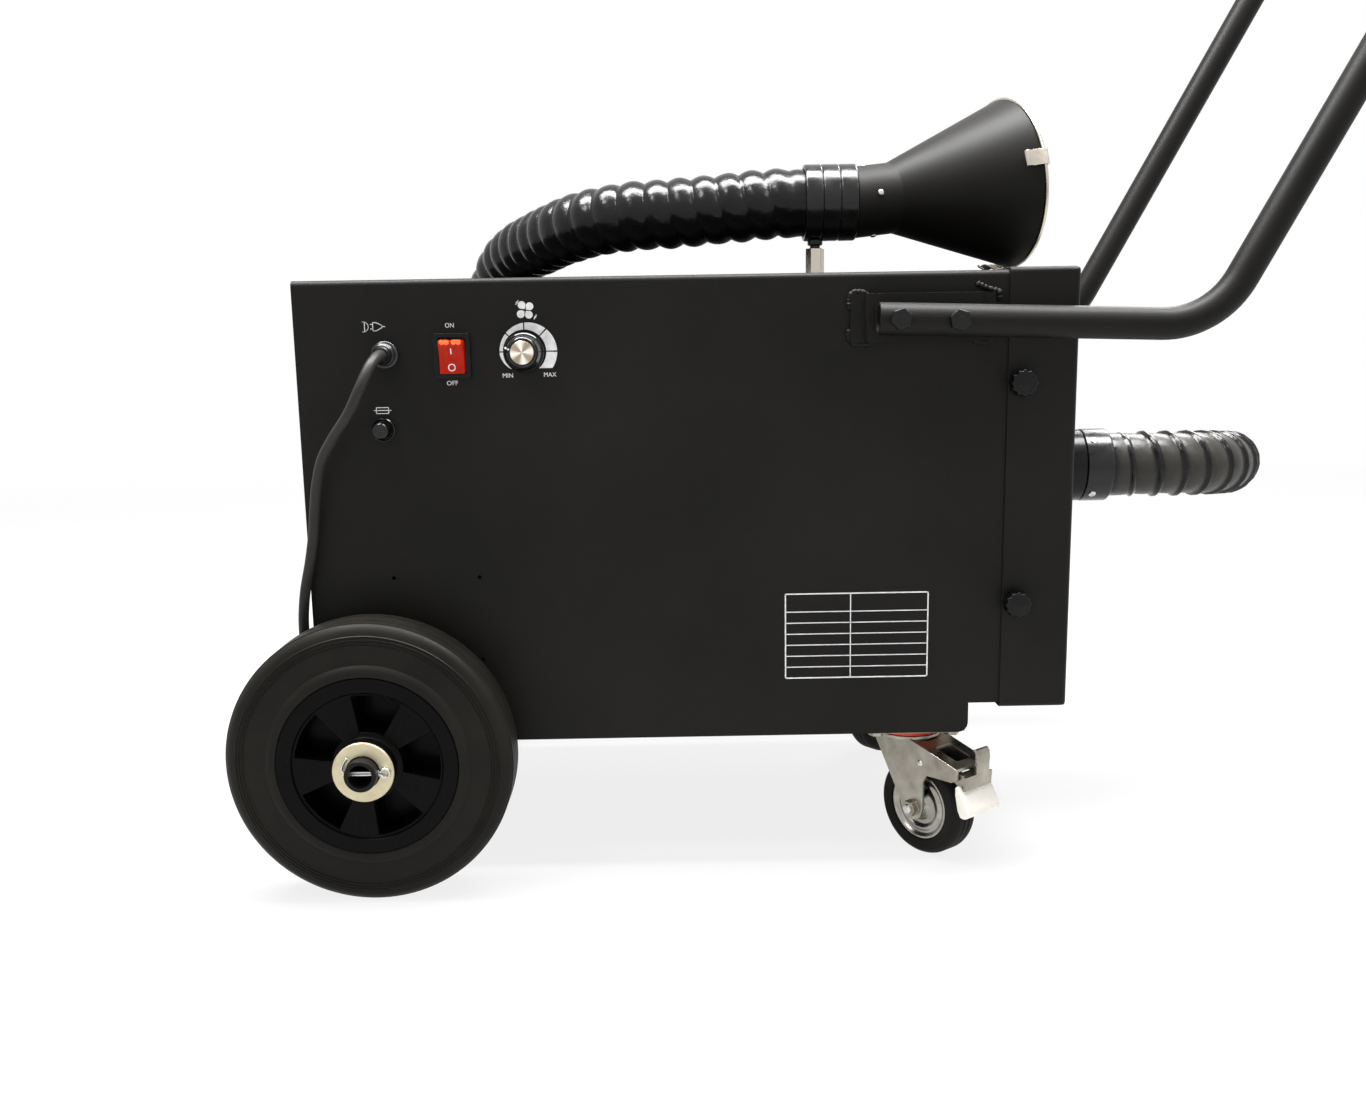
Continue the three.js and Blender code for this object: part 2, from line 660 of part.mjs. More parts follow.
function filterMedia() {
  const margin = FILTER_WALL + FIT;
  const from = FILTER_X + margin + PLEAT_SKIN;
  const to = FILTER_X + FILTER_DEPTH - margin - PLEAT_SKIN;
  const near = MIDDLE_Y - FILTER_WIDTH / 2 + margin;
  const pitch = (FILTER_WIDTH - 2 * margin - PLEAT_SKIN * 2) / (2 * PLEATS);
  const low = FILTER_LOW + margin;
  const legs = [];
  for (let i = 0; i < 2 * PLEATS; i += 1) {
    const start = i % 2 ? to : from;
    const end = i % 2 ? from : to;
    const y = near + i * pitch;
    const leg = outline([
      [start, y],
      [end, y + pitch],
      [end, y + pitch + 2 * PLEAT_SKIN],
      [start, y + 2 * PLEAT_SKIN],
    ]);
    legs.push(extruded('z', leg, low, FILTER_LOW + FILTER_HEIGHT - margin));
  }
  return join(...legs);
}

// Spark baffle: an upright frame of angled slats between the door and the filter
function sparkBaffle() {
  const gap = SHEET + 1;
  const low = SKIRT_Z + NOTCH_RISE + SHEET + FIT;
  const high = TOP_Z - gap;
  const rim = 12;
  const start = BAFFLE_X + SHEET;
  const frame = extruded(
    'x',
    withHole(
      roundedBox(gap, low, BODY_WIDTH - gap, high, 2),
      roundedBox(gap + rim, low + rim, BODY_WIDTH - gap - rim, high - rim, 2),
    ),
    start + 10,
    start + 10 + BAFFLE_DEPTH,
    1,
  );
  const width = BODY_WIDTH - 2 * gap - 2 * rim;
  const slats = [];
  for (let i = 0; i < BAFFLE_SLATS; i += 1) {
    const y = gap + rim + (width * (i + 0.5)) / BAFFLE_SLATS;
    const dx = (BAFFLE_DEPTH / 2 - SHEET) * 0.95;
    const dy = dx * Math.tan(radians(SLAT_ANGLE));
    const x = start + 10 + BAFFLE_DEPTH / 2;
    const slat = outline([
      [x - dx, y - dy],
      [x - dx + 2 * SHEET, y - dy],
      [x + dx, y + dy],
      [x + dx - 2 * SHEET, y + dy],
    ]);
    slats.push(extruded('z', slat, low + rim - 1, high - rim + 1));
  }
  return join(frame, ...slats);
}

// Fan scroll: a spiral casing on two feet, open at its outlet and at the inlet mouth
const SCROLL_FRONT = BULKHEAD_X - MOUTH_ROLL - SHEET * 2 - 1;
const SCROLL_BACK = SCROLL_FRONT - SCROLL_WIDTH;
const FOOT_WIDTH = 26;

function fanHousing() {
  const y = MIDDLE_Y;
  const z = SKIRT_Z + FAN_Z;
  const outerRadius = IMPELLER_RADIUS + SCROLL_CLEARANCE;
  const casing = (inset, from, to) => {
    const shape = new THREE.Shape();
    const steps = 15;
    const sweep = 1.5 * Math.PI;
    const top = z + SCROLL_OUTLET + (inset ? 1 : 0);
    const reach = outerRadius + SCROLL_GROWTH - inset;
    shape.moveTo(y - reach, top);
    shape.lineTo(y - reach, z);
    for (let i = 1; i <= steps; i += 1) {
      const share = i / steps;
      const angle = Math.PI + share * sweep;
      const radius = outerRadius + SCROLL_GROWTH * (1 - share) - inset;
      shape.lineTo(y + radius * Math.cos(angle), z + radius * Math.sin(angle));
    }
    const lip = y - IMPELLER_RADIUS * 0.35;
    shape.lineTo(lip - inset, z + outerRadius + 1 - inset);
    shape.lineTo(lip - inset, top);
    return extruded('x', shape, from, to);
  };
  const shell = cut(
    casing(0, SCROLL_BACK, SCROLL_FRONT),
    casing(SHEET, SCROLL_BACK + SHEET, SCROLL_FRONT - SHEET),
    rod('x', INLET_MOUTH + SHEET + 2, SCROLL_FRONT - 4, SCROLL_FRONT + 1, 16, y, z),
    rod('x', SHAFT_RADIUS + 6, SCROLL_BACK - 1, SCROLL_BACK + 4, 10, y, z),
  );
  const floor = PAN_Z + SHEET + FIT;
  const feet = [-1, 1].map((side) => {
    const middle = y + side * (outerRadius - FOOT_WIDTH);
    const foot = extruded(
      'x',
      outline([
        [middle - FOOT_WIDTH / 2, floor],
        [middle + FOOT_WIDTH / 2, floor],
        [middle + FOOT_WIDTH / 2, z - outerRadius * 0.4],
        [middle - FOOT_WIDTH / 2, z - outerRadius * 0.4],
      ]),
      SCROLL_BACK,
      SCROLL_BACK + SHEET,
    );
    const sole = extruded(
      'x',
      outline([
        [middle - FOOT_WIDTH / 2, floor],
        [middle + FOOT_WIDTH / 2, floor],
        [middle + FOOT_WIDTH / 2, floor + SHEET],
        [middle - FOOT_WIDTH / 2, floor + SHEET],
      ]),
      SCROLL_BACK - FOOT_WIDTH,
      SCROLL_BACK + SHEET,
    );
    return join(foot, sole);
  });
  return join(shell, ...feet);
}

// Impeller: back plate, backward-curved blades, shroud ring, hub and shaft in one turning part
const IMPELLER_GAP = 6;
const HUB_OUTER = 14;

function fanImpeller() {
  const y = MIDDLE_Y;
  const z = SKIRT_Z + FAN_Z;
  const back = SCROLL_BACK + SHEET + IMPELLER_GAP;
  const front = back + IMPELLER_WIDTH;
  const plate = rod('x', IMPELLER_RADIUS, back, back + SHEET, 24, y, z);
  const shroud = sleeve('x', IMPELLER_RADIUS, INLET_MOUTH - 2, front - SHEET, front, 24, y, z);
  const hub = turned('x', [
    [0, back + SHEET - 0.5],
    [HUB_OUTER + 8, back + SHEET - 0.5],
    [HUB_OUTER, back + 12],
    [HUB_OUTER * 0.7, back + 22],
    [0, back + 24],
  ], 10, y, z);
  const shaft = rod('x', SHAFT_RADIUS, SCROLL_BACK - MOTOR_LENGTH + 12, back + 1, 8, y, z);
  const blades = [];
  const inner = INLET_MOUTH - 4;
  const steps = 2;
  for (let blade = 0; blade < IMPELLER_BLADES; blade += 1) {
    const lead = [];
    for (let i = 0; i <= steps; i += 1) {
      const share = i / steps;
      const radius = inner + (IMPELLER_RADIUS - 1 - inner) * share;
      const angle = (2 * Math.PI * blade) / IMPELLER_BLADES + radians(34) * share * (1.35 - 0.35 * share);
      lead.push([radius, angle]);
    }
    const point = ([radius, angle], side) => [
      y + radius * Math.cos(angle + (side * BLADE_THICKNESS) / (2 * radius)),
      z + radius * Math.sin(angle + (side * BLADE_THICKNESS) / (2 * radius)),
    ];
    const loop = [
      ...lead.map((station) => point(station, -1)),
      ...lead.map((station) => point(station, 1)).reverse(),
    ];
    blades.push(extruded('x', outline(loop), back + SHEET - 0.5, front - SHEET + 0.5));
  }
  return join(plate, shroud, hub, shaft, ...blades);
}

// Fan motor: finned body bolted to the back of the scroll, with a raised end cover
function fanMotor() {
  const y = MIDDLE_Y;
  const z = SKIRT_Z + FAN_Z;
  const face = SCROLL_BACK - FIT;
  const end = face - MOTOR_LENGTH;
  const body = turned('x', [
    [0, end],
    [MOTOR_RADIUS * 0.5, end],
    [MOTOR_RADIUS - 8, end + 8],
    [MOTOR_RADIUS - 4, end + 13],
    [MOTOR_RADIUS - 4, face - 4],
    [MOTOR_RADIUS + 10, face - 4],
    [MOTOR_RADIUS + 10, face],
    [0, face],
  ], 18, y, z);
  const fins = [];
  for (let i = 0; i < MOTOR_FINS; i += 1) {
    const angle = (2 * Math.PI * i) / MOTOR_FINS;
    const fin = new THREE.BoxGeometry(MOTOR_LENGTH - 26, MOTOR_FIN + 2, 2.4);
    fin.translate(0, MOTOR_RADIUS - 4 + MOTOR_FIN / 2, 0).rotateX(angle).translate((face + end) / 2, y, z);
    fins.push(solid(fin));
  }
  const bore = rod('x', SHAFT_RADIUS + 3 * FIT, end + 10, face + 1, 8, y, z);
  return cut(join(body, ...fins), bore);
}

// Mains switch: a bezelled body and a two-faced rocker
const BEZEL_WIDTH = 25.5;
const BEZEL_HEIGHT = 31;
const BEZEL_THICKNESS = 2.2;
const SWITCH_BODY_WIDTH = 21.6;
const SWITCH_BODY_HEIGHT = 27;
const SWITCH_DEPTH = 20;
const ROCKER_WIDTH = 17.6;
const ROCKER_HEIGHT = 24;
const ROCKER_TILT = 11;
const ROCKER_PROUD = 3.4;
const ROCKER_DEEP = 8;

function switchBody() {
  const z = SKIRT_Z + SWITCH_Z;
  const centred = (width, height, radius) => roundedBox(
    SWITCH_X - width / 2,
    z - height / 2,
    SWITCH_X + width / 2,
    z + height / 2,
    radius,
  );
  const bezel = extruded('y', centred(BEZEL_WIDTH, BEZEL_HEIGHT, 1.5), -BEZEL_THICKNESS - FIT, -FIT, 2);
  const body = extruded('y', centred(SWITCH_BODY_WIDTH, SWITCH_BODY_HEIGHT, 1), -FIT - 0.5, SWITCH_DEPTH, 1);
  const window = centred(ROCKER_WIDTH + 1, ROCKER_HEIGHT + 1, 0.6);
  const well = extruded('y', window, -BEZEL_THICKNESS - FIT - 1, ROCKER_DEEP + 5, 1);
  const blades = [-7, 7].map((offset) => extruded(
    'y',
    roundedBox(SWITCH_X - 3.2, z + offset - 0.4, SWITCH_X + 3.2, z + offset + 0.4, 0.3),
    SWITCH_DEPTH - 0.5,
    SWITCH_DEPTH + 9,
    1,
  ));
  return join(cut(join(bezel, body), well), ...blades);
}

function switchRocker() {
  const half = ROCKER_HEIGHT / 2 - 0.6;
  const profile = outline([
    [-ROCKER_PROUD - 2.6, half],
    [-ROCKER_PROUD, 0],
    [-ROCKER_PROUD - 2.6, -half],
    [0.5, -half + 0.6],
    [ROCKER_DEEP, -4],
    [ROCKER_DEEP, 4],
    [0.5, half - 0.6],
  ]);
  const body = extruded('x', profile, -ROCKER_WIDTH / 2 + 0.2, ROCKER_WIDTH / 2 - 0.2);
  const mesh = fit(machine, 'switch_rocker', body, LAMP_RED);
  mesh.position.set(SWITCH_X, 0, SKIRT_Z + SWITCH_Z);
  mesh.rotation.x = radians(ROCKER_TILT);
}

// Speed control: potentiometer box and threaded bush behind the knob
const BUSH_RADIUS = 4.5;
const BUSH_LENGTH = 7;
const POT_SIZE = 26;
const POT_DEPTH = 16;
const SPEED_KNOB_RADIUS = 13.7;
const SPEED_KNOB_HEIGHT = 16;
const SPEED_CAP_RADIUS = 8.2;

function speedControl() {
  const z = SKIRT_Z + SPEED_Z;
  const back = SHEET + FIT;
  const half = POT_SIZE / 2;
  const box = extruded(
    'y',
    roundedBox(SPEED_X - half, z - half, SPEED_X + half, z + half, 2),
    back,
    back + POT_DEPTH,
    1,
  );
  const bush = rod('y', BUSH_RADIUS, -BUSH_LENGTH, back + 1, 10, SPEED_X, z);
  const nut = extruded('y', hexagon(SPEED_X, z, 12), -FIT - 2, -FIT);
  return join(box, bush, nut);
}

function speedKnob() {
  const r = SPEED_KNOB_RADIUS;
  const base = -FIT - 2 - FIT;
  const top = base - SPEED_KNOB_HEIGHT;
  const profile = [
    [BUSH_RADIUS + FIT, base],
    [r, base],
    [r, base - 4.5],
    [r - 1.6, base - 6],
    [r - 3, top + 1.2],
    [r - 4, top],
    [SPEED_CAP_RADIUS + FIT, top],
    [SPEED_CAP_RADIUS + FIT, top + 1],
    [0, top + 1],
    [0, -BUSH_LENGTH - FIT],
    [BUSH_RADIUS + FIT, -BUSH_LENGTH - FIT],
    [BUSH_RADIUS + FIT, base],
  ];
  const body = turned('y', profile, 18);
  const pointer = extruded('y', roundedBox(-r + 0.2, -0.7, -r + 4, 0.7, 0.3), top - 0.4, top + 6, 1);
  const mesh = fit(machine, 'speed_knob', join(body, pointer), BLACK_PLASTIC);
  const cap = fit(
    machine,
    'speed_knob_cap',
    turned('y', [
      [0, top - 0.5],
      [SPEED_CAP_RADIUS - 0.5, top - 0.5],
      [SPEED_CAP_RADIUS, top],
      [SPEED_CAP_RADIUS, top + 1 - FIT],
      [0, top + 1 - FIT],
    ], 20),
    ALUMINIUM,
  );
  for (const piece of [mesh, cap]) {
    piece.position.set(SPEED_X, 0, SKIRT_Z + SPEED_Z);
    piece.rotation.y = radians(15);
  }
}

// Panel fuse holder and its bayonet cap
const FUSE_NECK = 6.2;
const FUSE_BEZEL = 8.3;
const FUSE_DEPTH = 28;
const FUSE_CAP_RADIUS = 6.1;

function fuseHolder() {
  const z = SKIRT_Z + FUSE_Z;
  return turned('y', [
    [FUSE_CAP_RADIUS + FIT, -FIT - 2.4],
    [FUSE_BEZEL - 0.8, -FIT - 2.4],
    [FUSE_BEZEL, -FIT - 1.4],
    [FUSE_BEZEL, -FIT],
    [FUSE_NECK, -FIT],
    [FUSE_NECK, FUSE_DEPTH],
    [0, FUSE_DEPTH],
    [0, FUSE_DEPTH - 3],
    [3.4, FUSE_DEPTH - 3],
    [3.4, -FIT - 1.4],
    [FUSE_CAP_RADIUS + FIT, -FIT - 1.4],
    [FUSE_CAP_RADIUS + FIT, -FIT - 2.4],
  ], 16, FUSE_X, z);
}

function fuseCap() {
  const z = SKIRT_Z + FUSE_Z;
  const body = turned('y', [
    [0, -12],
    [4.6, -12],
    [5.6, -11.2],
    [FUSE_CAP_RADIUS, -4],
    [FUSE_CAP_RADIUS, -FIT * 2 - 1.4],
    [3, -FIT * 2 - 1.4],
    [3, FUSE_DEPTH - 4],
    [0, FUSE_DEPTH - 4],
  ], 16, FUSE_X, z);
  const slot = extruded('y', roundedBox(FUSE_X - 4, z - 0.6, FUSE_X + 4, z + 0.6, 0.5), -13, -11, 1);
  return cut(body, slot);
}

// Cable gland: neck through the panel, flange and tapered strain relief
const GLAND_NECK = 7.2;
const GLAND_FLANGE = 9.4;
const GLAND_LENGTH = 14;

function cableGland() {
  const z = SKIRT_Z + GLAND_Z;
  const tip = -GLAND_LENGTH;
  return turned('y', [
    [0, tip],
    [CORD_RADIUS + 1.2, tip],
    [CORD_RADIUS + 2.6, tip + 3],
    [GLAND_NECK, tip + 4.5],
    [GLAND_NECK + 0.4, -4.5],
    [GLAND_FLANGE, -3.4],
    [GLAND_FLANGE, -FIT],
    [GLAND_NECK, -FIT],
    [GLAND_NECK, 8],
    [0, 8],
  ], 16, GLAND_X, z);
}

// Main wheels: tyre, five-spoked rim, washer and split pin, drawn for the front and turned for the rear
const RIM_SEAT = 58;
const WHEEL_SIDES = 24;
const HUB_OUT = HUB_LENGTH / 2 + 1.5;
const WASHER_OUT = HUB_OUT + FIT;
const PIN_OUT = WASHER_OUT + WASHER_THICKNESS + PIN_RADIUS + FIT;
const AXLE_OUT = PIN_OUT + PIN_RADIUS + AXLE_TIP;

function wheelTyre() {
  const seat = RIM_SEAT + FIT;
  const lip = RIM_RADIUS + FIT;
  const R = WHEEL_RADIUS;
  const w = TYRE_HALF;
  const half = [
    [lip, w],
    [lip + 7, w],
    [lip + 9.5, w - 2.6],
    [R - 8, w - 2.8],
    [R, w - 7.7],
  ];
  const other = half.map(([radius, level]) => [radius, -level]).reverse();
  return turned('y', [[seat, 0], ...half, ...other, [seat, 0]], WHEEL_SIDES);
}

function wheelRim(phase) {
  const w = TYRE_HALF;
  const body = turned('y', [
    [AXLE_RADIUS + FIT, -HUB_OUT],
    [HUB_RADIUS, -HUB_OUT],
    [HUB_RADIUS, -w + 2],
    [RIM_RADIUS - 10.5, -w + 2],
    [RIM_RADIUS - 10.5, -w],
    [RIM_RADIUS, -w],
    [RIM_SEAT, 0],
    [RIM_RADIUS, w],
    [RIM_RADIUS - 10.5, w],
    [HUB_RADIUS, w - 12],
    [HUB_RADIUS, HUB_OUT - 3],
    [AXLE_RADIUS + FIT, HUB_OUT - 3],
    [AXLE_RADIUS + FIT, -HUB_OUT],
  ], WHEEL_SIDES);
  const inner = HUB_RADIUS + 4.5;
  const outer = RIM_RADIUS - 12.5;
  const pockets = [];
  for (let i = 0; i < POCKETS; i += 1) {
    const middle = phase + (2 * Math.PI * i) / POCKETS;
    const half = radians(POCKET_ANGLE) / 2;
    const shape = new THREE.Shape();
    shape.absarc(0, 0, outer, middle - half, middle + half, false);
    shape.absarc(0, 0, inner, middle + half, middle - half, true);
    pockets.push(extruded('y', shape, -w - 1, -w + 2 + POCKET_DEPTH - 0.4, 2));
  }
  return cut(body, ...pockets);
}

function splitPin() {
  const out = AXLE_RADIUS;
  const legs = [
    [-out - 4.5, 0, 9],
    [-out - 4, 0, 5],
    [-out - 2.6, 0, 1.6],
    [-out - 0.5, 0, 0],
    [0, 0, 0],
    [out + 2.5, 0, 0],
  ].map(vector);
  const wire = swept(polygon(0, 0, PIN_RADIUS, 5), legs);
  const eye = new THREE.TorusGeometry(3.4, PIN_RADIUS, 5, 8);
  eye.rotateX(Math.PI / 2).translate(out + 4.6, 0, 0);
  return join(wire, solid(eye));
}

function mainWheel(side, phase) {
  const group = new THREE.Group();
  const front = side === 'front';
  group.position.set(WHEEL_X, front ? -WHEEL_OUT : BODY_WIDTH + WHEEL_OUT, SKIRT_Z);
  if (!front) group.rotation.z = Math.PI;
  machine.add(group);
  fit(group, `wheel_rim_${side}`, wheelRim(phase), BLACK_PLASTIC);
  fit(group, `wheel_tyre_${side}`, wheelTyre(), RUBBER);
  const washer = sleeve(
    'y',
    WASHER_RADIUS,
    AXLE_RADIUS + FIT,
    -WASHER_OUT - WASHER_THICKNESS,
    -WASHER_OUT,
    16,
  );
  fit(group, `wheel_washer_${side}`, washer, WASHER_ZINC);
  fit(group, `wheel_split_pin_${side}`, splitPin(), ZINC).position.y = -PIN_OUT;
}

function axleTube() {
  const near = -WHEEL_OUT - AXLE_OUT;
  const far = BODY_WIDTH + WHEEL_OUT + AXLE_OUT;
  const tube = sleeve('y', AXLE_RADIUS, AXLE_BORE, near, far, 16, WHEEL_X, SKIRT_Z);
  const holes = [-WHEEL_OUT - PIN_OUT, BODY_WIDTH + WHEEL_OUT + PIN_OUT].map((y) => (
    rod('x', PIN_RADIUS + 2 * FIT, WHEEL_X - 2 * AXLE_RADIUS, WHEEL_X + 2 * AXLE_RADIUS, 6, y, SKIRT_Z)
  ));
  return cut(tube, ...holes);
}

// Castors: drawn with the wheel trailing along +X, then turned about the swivel
const PLATE_THICKNESS = 3;
const CROWN_Z = SKIRT_Z - PLATE_THICKNESS - 5.5;
const CHEEK_OUT = CASTOR_WIDTH / 2 + 5.5;
const CASTOR_SIDES = 16;
const BRAKE_X = FORK_ARM - 1;
const BRAKE_Z = CROWN_Z - 21;
const BRAKE_PIN = 2.2;

function castorPlate() {
  const length = CASTOR_PLATE_LENGTH / 2;
  const width = CASTOR_PLATE_WIDTH / 2;
  const low = SKIRT_Z - PLATE_THICKNESS;
  const plate = extruded('z', roundedBox(-length, -width, length, width, 8), low, SKIRT_Z, 2);
  const raceway = turned('z', [
    [0, CROWN_Z + FIT],
    [9, CROWN_Z + FIT],
    [20, low - 1.2],
    [20, low + 0.5],
    [0, low + 0.5],
  ], 12);
  const bolts = [];
  for (const x of [-1, 1]) {
    for (const y of [-1, 1]) {
      const head = hexagon((x * CASTOR_HOLES_X) / 2, (y * CASTOR_HOLES_Y) / 2, 10);
      bolts.push(extruded('z', head, low - 4, low + 0.5));
    }
  }
  return join(plate, raceway, ...bolts);
}

function castorDustRing() {
  const high = SKIRT_Z - PLATE_THICKNESS - FIT;
  return turned('z', [
    [20.6, high],
    [26.5, high],
    [24.5, CROWN_Z + FIT],
    [20.6, CROWN_Z + FIT],
    [20.6, high],
  ], 16);
}

function forkOutline() {
  const shape = new THREE.Shape();
  const end = CASTOR_RADIUS;
  const top = CROWN_Z;
  shape.moveTo(-22, top);
  shape.lineTo(CASTOR_TRAIL - 9, end - 2);
  shape.absarc(CASTOR_TRAIL, end, 9.5, 1.1 * Math.PI, 2 * Math.PI, false);
  shape.lineTo(CASTOR_TRAIL + 9.5, end + 22);
  shape.lineTo(CASTOR_TRAIL + 13, end + 28);
  shape.lineTo(FORK_ARM - 2, CROWN_Z - 25);
  shape.lineTo(FORK_ARM + 3, CROWN_Z - 22);
  shape.lineTo(FORK_ARM + 2, CROWN_Z - FORK_FALL);
  shape.lineTo(12, top);
  return shape;
}

function castorFork() {
  const cheeks = extruded('y', forkOutline(), -CHEEK_OUT, CHEEK_OUT);
  const room = CHEEK_OUT - FORK_SKIN;
  const inside = new THREE.Shape();
  inside.moveTo(-FORK_ARM, CROWN_Z - FORK_SKIN);
  inside.lineTo(11.5, CROWN_Z - FORK_SKIN);
  inside.lineTo(FORK_ARM + 20, CROWN_Z - FORK_SKIN - (FORK_FALL * (FORK_ARM + 8)) / (FORK_ARM - 9));
  inside.lineTo(FORK_ARM + 20, -5);
  inside.lineTo(-FORK_ARM, -5);
  const slot = extruded('z', roundedBox(FORK_ARM - 26, -8, FORK_ARM - 6, 8, 2), 40, CROWN_Z + 5, 2);
  const crown = rod('z', 25.5, CROWN_Z - FORK_SKIN, CROWN_Z, 14);
  const axle = rod('y', 4, -room - 1, room + 1, 6, CASTOR_TRAIL, CASTOR_RADIUS);
  const nuts = [-1, 1].map((side) => {
    const inner = side * (CHEEK_OUT - 0.5);
    const outer = side * (CHEEK_OUT + 5);
    const shape = hexagon(CASTOR_TRAIL, CASTOR_RADIUS, 11);
    return extruded('y', shape, Math.min(inner, outer), Math.max(inner, outer));
  });
  const hinge = rod('y', BRAKE_PIN, -room - 1, room + 1, 6, BRAKE_X, BRAKE_Z);
  return join(cut(cheeks, extruded('y', inside, -room, room), slot), crown, axle, hinge, ...nuts);
}

function castorRim() {
  const seat = CASTOR_RADIUS * 0.68;
  const half = CASTOR_WIDTH / 2 - 1.5;
  const side = [
    [4 + 2 * FIT, half + 3.5],
    [8, half + 3.5],
    [14, half - 3.5],
    [seat, half],
  ];
  const other = side.map(([radius, level]) => [radius, -level]).reverse();
  return turned('y', [...side, ...other, side[0]], CASTOR_SIDES, CASTOR_TRAIL, CASTOR_RADIUS);
}

function castorTyre() {
  const seat = CASTOR_RADIUS * 0.68 + FIT;
  const half = CASTOR_WIDTH / 2;
  const profile = [
    [seat, half - 1.5],
    [CASTOR_RADIUS - 4, half],
    [CASTOR_RADIUS, half - 6],
  ];
  const other = profile.map(([radius, level]) => [radius, -level]).reverse();
  return turned('y', [...profile, ...other, profile[0]], CASTOR_SIDES, CASTOR_TRAIL, CASTOR_RADIUS);
}

function castorBrake() {
  const at = (points) => outline(points.map(([x, z]) => [BRAKE_X + x, BRAKE_Z + z]));
  const width = CHEEK_OUT - FORK_SKIN - 0.8;
  const lever = extruded('y', at([
    [-3.6, 1.5],
    [1, 3.2],
    [7, 2.2],
    [5.6, 19],
    [8.6, 20],
    [10.5, 2],
    [9, -9],
    [5, -10],
    [2.5, -7],
    [-3, -3.5],
  ]), -width, width);
  const pad = extruded('y', at([
    [1.3, -5.5],
    [4, -4.5],
    [8.8, -12],
    [15, -22.5],
    [15, -26.5],
    [11, -31],
    [6.5, -31],
    [4, -24.5],
    [1.5, -12.5],
  ]), -CHEEK_OUT, CHEEK_OUT);
  const bore = rod('y', BRAKE_PIN + 2 * FIT, -CHEEK_OUT - 1, CHEEK_OUT + 1, 8, BRAKE_X, BRAKE_Z);
  return cut(join(lever, pad), bore);
}

function castor(side, turn) {
  const group = new THREE.Group();
  const y = side === 'front' ? CASTOR_INSET : BODY_WIDTH - CASTOR_INSET;
  group.position.set(CASTOR_X, y, 0);
  machine.add(group);
  fit(group, `castor_plate_${side}`, castorPlate(), ZINC);
  const swivel = new THREE.Group();
  swivel.rotation.z = radians(turn);
  group.add(swivel);
  fit(swivel, `castor_dust_ring_${side}`, castorDustRing(), RED_PLASTIC);
  fit(swivel, `castor_fork_${side}`, castorFork(), ZINC);
  fit(swivel, `castor_rim_${side}`, castorRim(), ZINC);
  fit(swivel, `castor_tyre_${side}`, castorTyre(), RUBBER);
  fit(swivel, `castor_brake_${side}`, castorBrake(), PALE_PLASTIC);
}

// Handle brackets: hat sections welded to the front and the rear
const TUBE_OUT = BRACKET_STANDOFF + FIT + HANDLE_RADIUS;

function handleBracket(front) {
  const y = (out) => (front ? -out : BODY_WIDTH + out);
  const left = BRACKET_LEFT;
  const right = BRACKET_LEFT + BRACKET_LENGTH;
  const t = BRACKET_SHEET;
  const h = BRACKET_STANDOFF;
  const f = BRACKET_FLANGE;
  const hat = outline([
    [left, y(FIT)],
    [left + f, y(FIT)],
    [left + f + 1, y(h - t)],
    [right - f - 1, y(h - t)],
    [right - f, y(FIT)],
    [right, y(FIT)],
    [right, y(t)],
    [right - f + t, y(t)],
    [right - f + t - 1, y(h)],
    [left + f - t + 1, y(h)],
    [left + f - t, y(t)],
    [left, y(t)],
  ]);
  const middle = SKIRT_Z + HANDLE_Z + 0.5;
  const body = extruded('z', hat, middle - BRACKET_HEIGHT / 2, middle + BRACKET_HEIGHT / 2);
  const holes = BOLT_X.map((x) => rod(
    'y',
    BOLT_RADIUS + 2 * FIT,
    Math.min(y(0), y(20)),
    Math.max(y(0), y(20)),
    8,
    x,
    boltZ(x),
  ));
  return cut(body, ...holes);
}

// The bolts lie on the tube's lower leg, which droops a little from the level
const boltZ = (x) => SKIRT_Z + HANDLE_Z - (x - HANDLE_START) * Math.tan(radians(HANDLE_DROOP));

function handleTube() {
  const leg = new THREE.Vector3(Math.cos(radians(HANDLE_DROOP)), 0, -Math.sin(radians(HANDLE_DROOP)));
  const slope = new THREE.Vector3(Math.cos(radians(HANDLE_SLOPE)), 0, Math.sin(radians(HANDLE_SLOPE)));
  const start = new THREE.Vector3(HANDLE_START, -TUBE_OUT, SKIRT_Z + HANDLE_Z);
  const elbow = start.clone().addScaledVector(leg, HANDLE_LEG);
  const top = elbow.clone().addScaledVector(slope, HANDLE_RISE);
  const across = new THREE.Vector3(0, BODY_WIDTH + 2 * TUBE_OUT, 0);
  const corners = [start, elbow, top];
  const mirrored = corners.map((corner) => corner.clone().add(across)).reverse();
  const stations = bentRoute([...corners, ...mirrored], HANDLE_BEND, 4);
  const tube = cut(
    swept(polygon(0, 0, HANDLE_RADIUS, 12), stations),
    swept(polygon(0, 0, HANDLE_RADIUS - HANDLE_WALL, 6), longer(stations, 1)),
  );
  const bolts = [];
  for (const front of [true, false]) {
    const y = (out) => (front ? -out : BODY_WIDTH + out);
    const between = (shape, near, far) => (
      extruded('y', shape, Math.min(y(near), y(far)), Math.max(y(near), y(far)))
    );
    for (const x of BOLT_X) {
      const face = TUBE_OUT + HANDLE_RADIUS;
      bolts.push(between(hexagon(x, boltZ(x), BOLT_FLATS, x), face - 1.2, face + 4.6));
      bolts.push(between(hexagon(x, boltZ(x), 1.8 * BOLT_RADIUS), 1, TUBE_OUT - HANDLE_RADIUS + 1));
    }
  }
  return join(tube, ...bolts);
}

// The same route run on past both of its ends, for a bore that has to break through
function longer(stations, extra) {
  const last = stations.length - 1;
  const stretch = (end, neighbour) => end.clone().add(end.clone().sub(neighbour).setLength(extra));
  return [
    stretch(stations[0], stations[1]),
    ...stations.slice(1, last),
    stretch(stations[last], stations[last - 1]),
  ];
}

